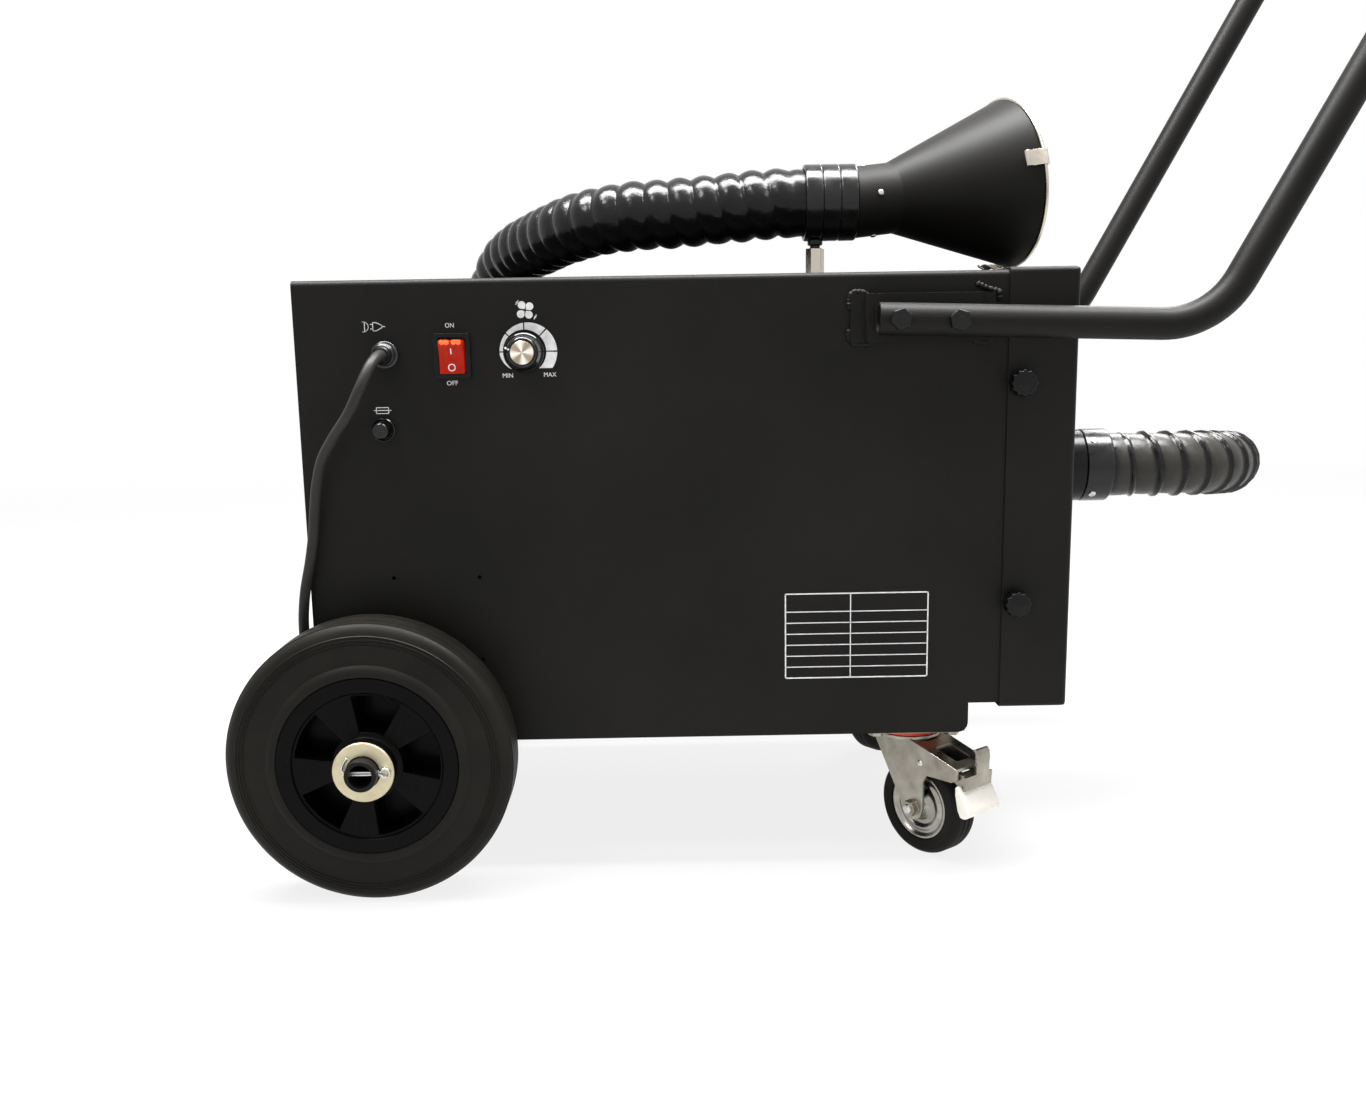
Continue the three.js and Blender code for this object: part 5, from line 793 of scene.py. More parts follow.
# Two-part epoxy screen ink: opaque white, a little thinner and greyer where the mesh left pinholes
screen_ink = finish("epoxy_screen_ink_white", "#c9c8c8", "#e6e5e6", 4, (0.45, 0.6), 0.8, 0.02)

# On the rocker: the stroke and the ring of a power switch, each flat on its half of the bent face
SWITCH = spot(108.7, 0, 377.6)
UPPER_LEAN, LOWER_LEAN, MARK_THICK, RING_IN, RING_OUT = 23.8, -1.8, 0.12, 1.9, 2.6
lower = shift(0, -3.72, -7.9, SWITCH) @ lean(LOWER_LEAN)
stroke = bar(0.35, 2.1, MARK_THICK, shift(0, -5.35, 3.2, SWITCH) @ lean(UPPER_LEAN))
ring = strip(round_shape(RING_IN, 33), round_shape(RING_OUT, 33), MARK_THICK, lower)
ring_end = strip(*(round_shape(radius, 2, start=-0.3, end=0.5) for radius in (RING_IN, RING_OUT)),
                 MARK_THICK, lower)
piece("rocker_marks", joined([stroke, ring, ring_end]), screen_ink, "rocker")

# The lamp shines through the rocker's top edge in two bright, ragged patches of clear orange
lamp_window = finish("lamp_window_lit_orange", "#d8480f", "#f2661c", 2, (0.2, 0.3), 1.5, 0.05,
                     Emission_Color=linear("#ff6a20"), Emission_Strength=0.5)
patch = [(0, -0.6), (1.5, -1.7), (3.1, -0.8), (4.9, -1.8), (6.6, -0.7), (6.6, 1.7), (5.4, 2.1),
         (1.2, 2.1), (0, 1.7)]
window = shift(0, -7.95, 9.1, SWITCH) @ lean(UPPER_LEAN)
patches = [flat_shape([(left + x, z) for x, z in patch], 0.15, window) for left in (-7.4, 0.8)]
piece("rocker_lamp_windows", joined(patches), lamp_window, "rocker")

# Knob: glossy ABS with a stepped collar, a white pointer and an aluminium inlay, faced on a lathe
KNOB_TURN = 15
knob_place = spot(159, 0, 379.2)
glossy_abs = finish("abs_moulded_gloss_black", "#070707", "#0c0c0c", 12, (0.08, 0.16), 3.0, 0.02,
                    Specular_IOR_Level=0.4)
knob_body = turned([
    (0, 9), (4.8, 9), (4.8, 2.6), (12.9, 2.6), (13.5, 2.9), (13.7, 3.5), (13.7, 6.2), (13.5, 7.0),
    (12.9, 7.5), (12.4, 8.0), (12.2, 9.0), (11.4, 13.4), (10.9, 16.4), (10.5, 17.5), (9.8, 18.2),
    (9.2, 18.5), (8.6, 18.55), (8.4, 18.3), (8.4, 17.4), (0, 17.4),
], FORWARD, knob_place, 96)
piece("speed_knob_body", knob_body, glossy_abs, "knob", ["speed_knob"], sharp=50)

# The pointer is one stripe of ink, over the rim of the top and down the tapered side
POINTER_HALF, SIDE_TAPER = 0.55, -78
turned_knob = Matrix.Translation(knob_place) @ lean(KNOB_TURN, "Y")
pointer = [bar(0.75, POINTER_HALF, 0.3, turned_knob @ shift(0, -18.3, 0), -9.45),
           bar(5.6, POINTER_HALF, 0.5, turned_knob @ shift(-11.9, -12.3, 0) @ lean(SIDE_TAPER, "Z"))]
piece("speed_knob_pointer", joined(pointer), screen_ink, "knob")

# Turned aluminium: rings from the tool 0.3 mm apart, put in as a fine bump. Four bright sectors with dim
# ones between are a painted highlight, drawn into the colour by angle for the light such rings gather,
# since rings this fine are lost at the distance the machine is seen from.
TOOL_FEED, HIGHLIGHT_SECTORS, HIGHLIGHT_START = 0.3 * MM, 4.0, 0.9
inlay = finish("faced_aluminium_tool_rings_painted_highlight", "#cdc3b4", "#dcd2c4", 8, (0.3, 0.36), 2.0, 0.0,
               Metallic=1.0, Anisotropic=0.85)
tree = inlay.node_tree
shader = tree.nodes["Principled BSDF"]
round_it = node(tree, "ShaderNodeTangent", direction_type="RADIAL", axis="Y")
tree.links.new(round_it.outputs[0], shader.inputs["Tangent"])
centred = node(tree, "ShaderNodeMapping", {
    "Vector": tree.nodes["Texture Coordinate"].outputs["Object"],
    "Location": tuple(-c for c in knob_place),
})
tool = node(tree, "ShaderNodeTexWave", {"Vector": centred.outputs[0], "Scale": 0.314 / TOOL_FEED},
            wave_type="RINGS", rings_direction="Y")
rings = node(tree, "ShaderNodeBump", {
    "Height": tool.outputs["Fac"], "Strength": 1.0, "Distance": 0.05 * MM,
})
tree.links.new(rings.outputs[0], shader.inputs["Normal"])
# Painted highlight: the colour is lighter in four sectors by angle round the knob's axis, dimmer between
faced = node(tree, "ShaderNodeSeparateXYZ", {0: centred.outputs[0]})
angle = node(tree, "ShaderNodeMath", {0: faced.outputs[2], 1: faced.outputs[0]}, operation="ARCTAN2")
angle = node(tree, "ShaderNodeMath", {0: angle.outputs[0], 1: HIGHLIGHT_SECTORS, 2: HIGHLIGHT_START},
             operation="MULTIPLY_ADD")
painted_highlight = node(tree, "ShaderNodeMath", {0: angle.outputs[0]}, operation="SINE")
painted_highlight = node(tree, "ShaderNodeMapRange", {0: painted_highlight.outputs[0], 1: -0.6, 2: 1.0})
tint = node(tree, "ShaderNodeMix", {0: painted_highlight.outputs[0], 6: linear("#a39480"), 7: linear("#fff8ee")},
            data_type="RGBA")
tree.links.new(tint.outputs[2], shader.inputs["Base Color"])
cap = turned([(0, 17.5), (8.1, 17.5), (8.1, 18.7), (7.9, 19.0), (7.5, 19.1), (1.0, 19.1), (0, 19.05)],
             FORWARD, knob_place, 72)
piece("speed_knob_inlay", cap, inlay, "knob", ["speed_knob_cap"])

# Fuse holder: a moulded bezel with a raised rim, and the bayonet cap with its screwdriver slot. The slot
# is a thin dark bar on the cap's face: a painted shadow standing in for its deep floor
fuse_place = spot(58.5, 0, 327.2)
bezel = turned([
    (0, -26), (6.0, -26), (6.0, 0.3), (7.6, 0.3), (8.2, 0.6), (8.35, 1.2), (8.3, 2.3), (8.0, 2.65),
    (7.5, 2.7), (7.1, 2.4), (6.6, 1.5), (6.5, 1.2), (0, 1.2),
], FORWARD, fuse_place, 64)
piece("fuse_bezel", bezel, glossy_abs, "chassis", ["fuse_holder"])
bayonet_cap = turned([
    (0, 1.4), (5.9, 1.4), (6.1, 1.8), (6.1, 8.6), (5.9, 10.2), (5.3, 11.4), (4.6, 11.9), (3.9, 12.05),
    (3.2, 11.8), (0, 11.7),
], FORWARD, fuse_place, 64)
piece("fuse_cap_body", bayonet_cap, glossy_abs, "fuse_lid", ["fuse_cap"])
# Painted shadow: a near-black colour for the shade down in the screwdriver slot
painted_slot_shadow = finish("moulded_slot_shadow", "#050505", "#080808", 5, (0.5, 0.6), 1, 0)
piece("fuse_cap_slot_shadow", bar(3.1, 0.5, 0.12, shift(0, -11.68, 0, fuse_place)), painted_slot_shadow, "fuse_lid")


# ---- Printed marks -----------------------------------------------------------------------------
# Plain signs in white screen ink, 0.06 mm thick: on and off, the speed scale, a fan, a plug, a fuse,
# and the ruled lines of the rating table, which is left blank.

INK = 0.06
panel = Matrix.Translation(spot(0, -0.02, 0))


def printed(name, shapes):
    """Printed shapes made one piece of ink on the cabinet's front."""
    piece(name, joined(shapes), screen_ink, "chassis", sharp=80, weighted=False)


def lettered(word, x, z, width, height):
    """A word in plain capitals, centred on x with its foot at z, mm."""
    lettering = bpy.data.curves.new(word, "FONT")
    lettering.body = word
    lettering.align_x = "CENTER"
    lettering.resolution_u = 3
    holder = bpy.data.objects.new(word, lettering)
    bpy.context.scene.collection.objects.link(holder)
    bpy.context.view_layer.update()
    flat = bpy.data.meshes.new_from_object(holder.evaluated_get(bpy.context.evaluated_depsgraph_get()))
    bpy.data.objects.remove(holder)
    bpy.data.curves.remove(lettering)
    body = bmesh.new()
    body.from_mesh(flat)
    bpy.data.meshes.remove(flat)
    bmesh.ops.remove_doubles(body, verts=body.verts, dist=1e-5)
    wide = max(v.co.x for v in body.verts) - min(v.co.x for v in body.verts)
    tall = max(v.co.y for v in body.verts)
    for vert in body.verts:
        vert.co = (vert.co.x * width / wide * MM, 0, vert.co.y * height / tall * MM)
    return thickened(body, -INK, panel @ shift(x, 0, z))


def drawn_line(points, wide):
    """Printed strokes from point to point, wide mm across."""
    strokes = []
    for (x0, z0), (x1, z1) in zip(points, points[1:]):
        run = Vector((x1 - x0, z1 - z0)).normalized() * wide / 2
        side = Vector((-run.y, run.x))
        strokes.append(flat_shape([
            (x + run.x * way + side.x * up, z + run.y * way + side.y * up)
            for x, z, way, up in ((x0, z0, -1, 1), (x0, z0, -1, -1), (x1, z1, 1, -1), (x1, z1, 1, 1))
        ], INK, panel))
    return strokes


printed("mark_words", [
    lettered("ON", 107.7, 396.9, 6.1, 3.1), lettered("OFF", 107.9, 357.4, 7.7, 3.1),
    lettered("MIN", 146.6, 362.0, 7.1, 3.0), lettered("MAX", 175.8, 362.2, 8.6, 3.0),
])

# Speed scale: a crescent between two circles that aren't concentric, cut by the fine lines of its
# marks. It tapers off towards MIN, and its other end is cut level.
SCALE_X, SCALE_Z, SCALE_IN, SCALE_OUT, OUTER_OFF = 158.8, 379.7, 15.0, 19.9, Vector((2.6, -0.1))
TAPER_END, TAPER_OVER, HALF_GAP, CUT_LEVEL = math.radians(233), math.radians(45), 0.43 / 17, 368.2
SECTOR_STEPS = 14
sectors = []
marks = [math.radians(a) for a in (-50.4, 0, 45, 90, 135, 180, 231.5)]
for low, high in zip(marks, marks[1:]):
    low, high = low + HALF_GAP * (low > marks[0]), high - HALF_GAP * (high < marks[-1])
    inner, outer = [], []
    for i in range(SECTOR_STEPS + 1):
        a = low + (high - low) * i / SECTOR_STEPS
        way = Vector((math.cos(a), math.sin(a)))
        aside = OUTER_OFF.dot(way)
        reach = aside + math.sqrt(max(aside ** 2 - OUTER_OFF.length_squared + SCALE_OUT ** 2, 0))
        reach = SCALE_IN + max(reach - SCALE_IN, 0.1) * min(1, (TAPER_END - a) / TAPER_OVER)
        inner.append((SCALE_X + way.x * SCALE_IN, SCALE_Z + way.y * SCALE_IN))
        outer.append((SCALE_X + way.x * reach, SCALE_Z + way.y * reach))
    sector = strip(inner, outer, INK, panel)
    if low == marks[0]:
        bmesh.ops.bisect_plane(sector, geom=sector.verts[:] + sector.edges[:] + sector.faces[:],
                               dist=1e-7, plane_co=spot(0, 0, CUT_LEVEL), plane_no=(0, 0, -1),
                               clear_outer=True)
        bmesh.ops.holes_fill(sector, edges=[e for e in sector.edges if e.is_boundary], sides=0)
    sectors.append(sector)
printed("mark_speed_scale", sectors)

# Fan sign: four blades round a hub, with a hint of turning at two corners
FAN_HUB, BLADE_R, BLADE_ROOT = (160.4, 407.9), 2.65, 3.3
blades = []
for x, z in ((157.9, 411.3), (163.3, 410.4), (162.7, 404.7), (157.1, 405.2)):
    toward = math.atan2(FAN_HUB[1] - z, FAN_HUB[0] - x)
    blade = round_shape(BLADE_R, 20, (x, z), toward + 0.75, toward + 2 * math.pi - 0.75)
    blade.append((x + BLADE_ROOT * math.cos(toward), z + BLADE_ROOT * math.sin(toward)))
    blades.append(flat_shape(blade, INK, panel))
for x, z in ((154.0, 412.6), (155.1, 413.6), (166.2, 402.5), (167.2, 403.6)):
    blades += drawn_line([(x, z - 0.9), (x + 0.5, z + 0.9)], 0.5)
printed("mark_fan", blades)

# Socket sign and plug sign, drawn in outline, and the fuse sign
arc = round_shape(3.4, 9, (48.4, 398.3), -math.pi / 2, math.pi / 2)
signs = drawn_line([(47.9, 394.9), *arc, (48.4, 401.7), (47.9, 401.7)], 0.45)
signs += drawn_line([(49.2, 395.2), (49.2, 401.5)], 0.45)
for points in (
    [(54.9, 395.5), (54.9, 401.1), (57.2, 401.1), (61.2, 399.0), (61.2, 397.6), (57.2, 395.5),
     (54.9, 395.5)],
    [(53.4, 399.9), (54.9, 399.9)], [(53.4, 396.8), (54.9, 396.8)], [(61.2, 398.3), (63.0, 398.3)],
    [(52.5, 340.8), (64.3, 340.8)],
    [(54.1, 338.7), (62.6, 338.7), (62.6, 342.8), (54.1, 342.8), (54.1, 338.7)],
):
    signs += drawn_line(points, 0.5)
printed("mark_plug_and_fuse", signs)

# Rating table: seven ruled rows, the top one taller, and two columns, with nothing written in them
TABLE_LEFT, TABLE_LOW, TABLE_RIGHT, TABLE_HIGH = 338.9, 142.9, 441.3, 205.0
ROW, COLUMN_AT, FRAME_WIDE, RULE_WIDE = 8.15, 385.7, 0.9, 0.65
ruled = []
for i in range(8):
    z = TABLE_LOW + ROW * i if i < 7 else TABLE_HIGH
    ruled += drawn_line([(TABLE_LEFT, z), (TABLE_RIGHT, z)], RULE_WIDE if 0 < i < 7 else FRAME_WIDE)
for x, wide in ((TABLE_LEFT, FRAME_WIDE), (COLUMN_AT, RULE_WIDE), (TABLE_RIGHT, FRAME_WIDE)):
    ruled += drawn_line([(x, TABLE_LOW), (x, TABLE_HIGH)], wide)
printed("rating_table_rules", ruled)


# ---- Transport wheels and axle -----------------------------------------------------------------
# Two 200 mm wheels: solid black rubber tyres on one-piece polypropylene centres, running on a steel
# tube through the base. A plain washer and a split pin keep each one on.

# Polypropylene, moulded: near black, satin, with the flow of the mould in it
polypropylene = finish("polypropylene_moulded_black", "#040404", "#080707", 30, (0.22, 0.34), 2.2, 0.06,
                       Specular_IOR_Level=0.07)
# Solid rubber, pressed in a mould: matt brown-black, with a bloom of wax and floor dust on it
tyre_rubber = finish("solid_rubber_pressed", "#12100d", "#1a1814", 45, (0.42, 0.58), 1.1, 0.09,
                     Specular_IOR_Level=0.12)
# Zinc plate, yellow passivated thinly: pale cream metal, softened by fingers
cream_zinc = finish("zinc_plate_pale_passivated", "#c3b99a", "#d6ccae", 9, (0.38, 0.5), 1.2, 0.03,
                    Metallic=0.75)
# Bright zinc plate, on pins, rivets and screws: clean and shiny
bright_zinc = finish("zinc_plate_bright", "#c9c9c6", "#dadad8", 6, (0.2, 0.32), 1.5, 0.02, Metallic=1.0)


def mirrored(profile):
    """A profile given for one side, closed through its mirror image on the other."""
    return [*profile, *((radius, -level) for radius, level in reversed(profile)), profile[0]]


tyre_profile = mirrored([
    (58.9, 17.8), (63.1, 19.2), (63.1, 21.5), (63.5, 22.0), (64.6, 22.35), (66.4, 22.4), (68.2, 22.1),
    (69.8, 21.4), (70.9, 20.5), (71.6, 19.9), (72.6, 19.75), (78, 19.8), (84.4, 19.8), (84.8, 20.05),
    (85.2, 20.05), (85.5, 19.5), (86.5, 19.5), (86.8, 20.0), (87.2, 20.0), (87.5, 19.4), (88.6, 19.4),
    (88.9, 19.9), (89.3, 19.85), (89.6, 19.2), (90.8, 19.15), (91.1, 19.55), (91.5, 19.5), (91.9, 18.9),
    (94.4, 18.3), (96.4, 17.2), (98.0, 15.8), (99.0, 14.4), (99.1, 13.8), (99.9, 13.4), (100, 12.6),
    (100, 8.4), (99.3, 8.1), (99.3, 6.9), (100, 6.6), (100, 1.0), (99.4, 0.6),
])
rim_profile = [
    (11.4, 31.3), (12.2, 31.5), (19.2, 31.5), (20.0, 30.9), (20.2, 22.6), (20.8, 21.2), (22.2, 20.4),
    (24.5, 20.4), (50.3, 20.4), (51.4, 20.5), (51.9, 20.9), (52.2, 21.9), (52.8, 22.4), (61.9, 22.4),
    (62.6, 22.0), (62.7, 21.4), (62.7, 19.0), (58.4, 17.6), (58.4, -17.6), (62.7, -19.0), (62.7, -21.4),
    (62.2, -22.2), (61.6, -22.4), (52.6, -22.4), (51.6, -21.9), (21.4, -10.7), (20.2, -11.6), (20, -13),
    (20, -28.1), (19.4, -28.5), (11.4, -28.5), (11.4, 31.3),
]
# Five pockets 40 degrees wide are moulded into each centre, narrowing a little towards their floors
POCKETS, POCKET_IN, POCKET_OUT, POCKET_HALF, POCKET_DEEP = 5, 24.5, 50.3, 20, 24
POCKET_MIDDLE, POCKET_DRAFT, POCKET_FACE = 37, 0.9, 20.3 * MM
WHEEL_X, WHEEL_R, WHEEL_OUT = 45.8, 100, 31.6
for side, y, out, phase in (("front", -WHEEL_OUT, -1, 80), ("rear", CABINET_DEEP + WHEEL_OUT, 1, 136)):
    centre = spot(WHEEL_X, y, WHEEL_R)
    way = Vector((0, out, 0))
    tyre = turned(tyre_profile, way, centre, 144)
    piece(f"tyre_{side}", tyre, tyre_rubber, f"wheel_{side}", [f"wheel_tyre_{side}"], sharp=28)

    rim = turned(rim_profile, way, centre, 90)

    def from_pocket(off):
        """Where a place on the rim lies round the axle, and how far from its pocket's middle."""
        angle = math.degrees(math.atan2(off.z, off.x))
        pitch = 360 / POCKETS
        return angle, (angle - phase + pitch / 2) % pitch - pitch / 2

    mouths = []
    for face in rim.faces:
        off = face.calc_center_median() - centre
        if (POCKET_IN < math.hypot(off.x, off.z) / MM < POCKET_OUT and off.dot(way) > POCKET_FACE
                and abs(from_pocket(off)[1]) < POCKET_HALF):
            mouths.append(face)
    sunk = bmesh.ops.extrude_face_region(rim, geom=mouths)["geom"]
    bmesh.ops.delete(rim, geom=[f for f in mouths if f.is_valid], context="FACES")
    for vert in (v for v in sunk if isinstance(v, bmesh.types.BMVert)):
        angle, turn = from_pocket(vert.co - centre)
        middle = math.radians(angle - turn)
        heart = centre + Vector((math.cos(middle), 0, math.sin(middle))) * POCKET_MIDDLE * MM
        heart.y = vert.co.y
        vert.co = heart.lerp(vert.co, POCKET_DRAFT) - way * POCKET_DEEP * MM
    lips = []
    for edge in rim.edges:
        offs = [v.co - centre for v in edge.verts]
        if (len(edge.link_faces) == 2 and edge.calc_face_angle() > math.radians(45)
                and all(o.dot(way) > 20.2 * MM and 24 * MM < math.hypot(o.x, o.z) < 50.6 * MM
                        for o in offs)):
            lips.append(edge)
    rounded(rim, lips, 0.7, 3)
    piece(f"wheel_centre_{side}", rim, polypropylene, f"wheel_{side}",
          [f"wheel_rim_{side}"], sharp=38)

    washer = turned([(11.5, 31.8), (20.7, 31.8), (21, 32.1), (21, 33.4), (20.6, 33.8), (11.9, 33.8),
                     (11.5, 33.4), (11.5, 31.8)], way, centre, 96)
    piece(f"washer_{side}", washer, cream_zinc, "chassis", [f"wheel_washer_{side}"])

    # Split pin: one doubled wire, its eye on one side, one leg bent back round the tube. Its path is
    # (x, z, farther out) in mm from the hole through the tube.
    PIN_OUT, PIN_WIRE_R, EYE_X, EYE_R = 35.9, 0.92 * MM, 15.4, 3.1
    eye = [(EYE_X + EYE_R * math.cos(math.radians(a)), EYE_R * math.sin(math.radians(a)), 0)
           for a in range(-150, 151, 20)]
    wire_path = [
        (-13.4, -0.95, 0), (-6, -0.95, 0), (4, -0.95, 0), (10.6, -0.85, 0), *eye, (10.6, 0.85, 0),
        (4, 0.95, 0), (-6, 0.95, 0), (-11.6, 0.95, 0), (-13.3, 2.4, 0.2), (-13.2, 5.2, 0.4),
        (-11.6, 8.6, 0.5), (-9.4, 11.4, 0.5),
    ]
    wire_line = smooth_route([centre + way * (PIN_OUT + farther) * MM + Vector((x, 0, z)) * MM
                              for x, z, farther in wire_path], 0.8 * MM)
    wire_long = length_of(wire_line)
    wire_rings = [(0.0, 0.55 * MM), (0.0004, PIN_WIRE_R), *even_rings(wire_line, PIN_WIRE_R, 1),
                  (wire_long - 0.0004, PIN_WIRE_R), (wire_long, 0.5 * MM)]
    piece(f"split_pin_{side}", swept(wire_line, wire_rings, 12), bright_zinc, "chassis",
          [f"wheel_split_pin_{side}"], sharp=60)

# Axle: a powder coated steel tube right through the base, its ends left open
axle = turned([
    (8, -74.3), (10.5, -74.3), (11, -73.8), (11, 363.8), (10.5, 364.3), (8, 364.3), (8, -74.3),
], (0, 1, 0), spot(WHEEL_X, 0, WHEEL_R), 72)
piece("axle", axle, powder_coat, "chassis", ["axle_tube"])


# ---- Castors -----------------------------------------------------------------------------------
# Two 75 mm swivel castors with total brakes: pressed steel, zinc plated, under a red dust ring. The
# rubber tyre is pressed on a stamped centre, and a painted pedal works the brake lever.

# Zinc plate on pressed steel: grey, a little cloudy, with the press marks smoothed over
dull_zinc = finish("zinc_plate_on_pressed_steel", "#8a857a", "#b3ada1", 14, (0.22, 0.38), 2.4, 0.07,
                   Metallic=1.0)
# Stamped and zinc plated centre, brighter where the tool stretched it
stamped_zinc = finish("zinc_plate_on_stamped_steel", "#8a877f", "#b0ada5", 10, (0.18, 0.34), 3.0, 0.05,
                      Metallic=1.0)
# Red polypropylene, moulded: one flat colour with a soft sheen
red_ring = finish("polypropylene_moulded_red", "#a92f1c", "#be3a24", 8, (0.35, 0.5), 1.6, 0.05)
# Cream stoving enamel on the pedal: smooth, with a low gloss
cream_enamel = finish("stoving_enamel_cream", "#dcd6ce", "#e6e1da", 12, (0.3, 0.42), 2.0, 0.04)
# Castor rubber: softer and duller than the wheels', greyed by the floor
castor_rubber = finish("tyre_rubber_grey_black", "#11100e", "#191714", 20, (0.5, 0.7), 1.0, 0.08,
                       Specular_IOR_Level=0.12)


def plate_cut(outline, low, high, round_off, place, segments=2):
    """A plate cut to an outline of (x, z) mm, from low to high across, its edges rounded."""
    body = bmesh.new()
    body.faces.new([body.verts.new((x * MM, low * MM, z * MM)) for x, z in outline])
    thickened(body, high - low, Matrix())
    bmesh.ops.recalc_face_normals(body, faces=body.faces)
    edges = [e for e in body.edges if e.calc_face_angle(0) > math.radians(30)]
    rounded(body, edges, round_off, segments)
    bmesh.ops.transform(body, matrix=place, verts=body.verts)
    return body


castor_rim_profile = mirrored([
    (4.6, 14.3), (7.2, 14.5), (7.8, 14.1), (8.2, 12.9), (9.2, 10.9), (11.4, 8.6), (12.4, 8.1),
    (14.2, 7.9), (15.2, 8.2), (16.0, 9.2), (16.8, 10.1), (17.8, 10.4), (18.8, 10.2), (19.6, 9.4),
    (20.6, 8.9), (21.8, 9.1), (22.6, 9.9), (23.4, 11.0), (24.6, 11.4), (25.4, 11.0),
])
castor_tyre_profile = mirrored([
    (25.8, 10.7), (26.3, 11.7), (27.4, 12.2), (29.4, 12.5), (30.0, 12.2), (30.6, 12.5), (32.6, 12.4),
    (33.1, 12.0), (33.8, 12.1), (35.2, 11.1), (36.2, 9.7), (36.9, 8.3), (37.3, 7.2), (37.5, 6.2),
    (37.5, 3.2), (36.8, 2.9), (36.8, 2.2), (37.5, 1.9), (37.5, 0.5),
])
# The kingpins' place along the machine, then in mm from the foot of a kingpin's axis: the wheel's
# axle and its nuts, the rivets, and the lever's hinge
CASTOR_X, TRAIL, AXLE_UP, AXLE_OUT = 436, 21, 37.5, 22.6
RIVET_X, RIVET_UP, RIVET_OUT, LEVER_X, LEVER_Z = 28, 73.8, 17.9, 59, 70.5


def lever_plate(points, low, high, round_off, swivel, segments=2):
    """A plate of the brake, its outline in (x, z) mm from the lever's hinge."""
    outline = [(LEVER_X + x, LEVER_Z + z) for x, z in points]
    return plate_cut(outline, low, high, round_off, swivel, segments)


for side, y, turn in (("front", 41, -52), ("rear", CABINET_DEEP - 41, 40)):
    swivel = Matrix.Translation(spot(CASTOR_X, y, 0)) @ lean(turn, "Z")
    across = swivel.to_3x3() @ Vector((0, 1, 0))
    hub = swivel @ (Vector((TRAIL, 0, AXLE_UP)) * MM)
    fork_body, wheel_body, pedal_body = (
        f"castor_{name}_{side}" for name in ("swivel", "wheel", "pedal"))
    dressed(f"castor_top_plate_{side}", f"castor_plate_{side}", dull_zinc, "chassis", 0.5)
    dressed(f"castor_yoke_{side}", f"castor_fork_{side}", dull_zinc, fork_body, 0.9, 3, 32)
    dust = turned([(20.7, 91.8), (24.3, 91.8), (25.2, 92.6), (26.3, 95.8), (26.4, 96.5), (20.7, 96.6),
                   (20.7, 91.8)], (0, 0, 1), swivel.translation, 72)
    piece(f"castor_dust_cover_{side}", dust, red_ring, fork_body,
          [f"castor_dust_ring_{side}"])
    for cheek, out in (("near", -1), ("far", 1)):
        rivet = turned([(0, -2), (2.6, -2), (2.6, 0), (2.3, 0.7), (1.6, 1.15), (0.8, 1.35), (0, 1.4)],
                       across * out, swivel @ (Vector((RIVET_X, out * RIVET_OUT, RIVET_UP)) * MM), 24)
        nut_end = turned([(0, 0), (3.6, 0), (3.6, 1.2), (3.2, 1.9), (2.2, 2.3), (0, 2.4)],
                         across * out, swivel @ (Vector((TRAIL, out * AXLE_OUT, AXLE_UP)) * MM), 24)
        piece(f"castor_rivets_{cheek}_{side}", joined([rivet, nut_end]), bright_zinc, fork_body)
    rim = turned(castor_rim_profile, across, hub, 72)
    piece(f"castor_centre_{side}", rim, stamped_zinc, wheel_body, [f"castor_rim_{side}"], sharp=60)
    tyre = turned(castor_tyre_profile, across, hub, 96)
    piece(f"castor_rubber_{side}", tyre, castor_rubber, wheel_body, [f"castor_tyre_{side}"],
          sharp=32)

    # Brake lever: a pressed plate hinged on the arm ends, with a curled tab, and the pedal below it
    web = lever_plate([
        (-2.9, 0.6), (0.4, 2.4), (6.4, 1.6), (9.8, 2.0), (9.0, -8.6), (6.6, -9.4), (6.2, -1.6),
        (2.6, -1.6), (-2.4, -2.6),
    ], -14.6, 14.6, 0.5, swivel)
    tab = lever_plate([
        (7.4, 1.0), (9.9, 1.0), (9.7, 8.0), (10.2, 13.0), (9.6, 17.6), (8.0, 19.8), (6.2, 19.9),
        (5.6, 18.6), (6.8, 18.2), (7.6, 16.4), (7.9, 12.6), (7.3, 8.0),
    ], -3.2, 11.2, 0.5, swivel, 3)
    ears = [lever_plate([
        (-3.2, -3.2), (-3.4, 1.0), (0.6, 3.0), (6.2, 2.4), (7.2, -1.4), (5.4, -9.0), (2.2, -6.6),
    ], *span, 0.4, swivel) for span in ((-14.7, -12.9), (12.9, 14.7))]
    piece(f"brake_lever_{side}", joined([web, tab, *ears]), dull_zinc, pedal_body)
    pedal = lever_plate([
        (1.8, -6.2), (4.4, -5.2), (8.8, -12), (15, -22.5), (15, -25.4), (11.4, -28.6), (7.0, -28.6),
        (4.2, -23.5), (1.8, -12.5),
    ], -18, 18, 1.7, swivel, 4)
    piece(f"brake_pedal_{side}", pedal, cream_enamel, pedal_body,
          [f"castor_brake_{side}"], sharp=50)


# ---- Hood, its cuff and its rest ---------------------------------------------------------------
# A spun steel funnel, powder coated, with a nickel plated ring clipped over its mouth. A PVC cuff
# holds the hose on its throat, and a stud under the cuff drops into a hexagon socket on the cabinet.

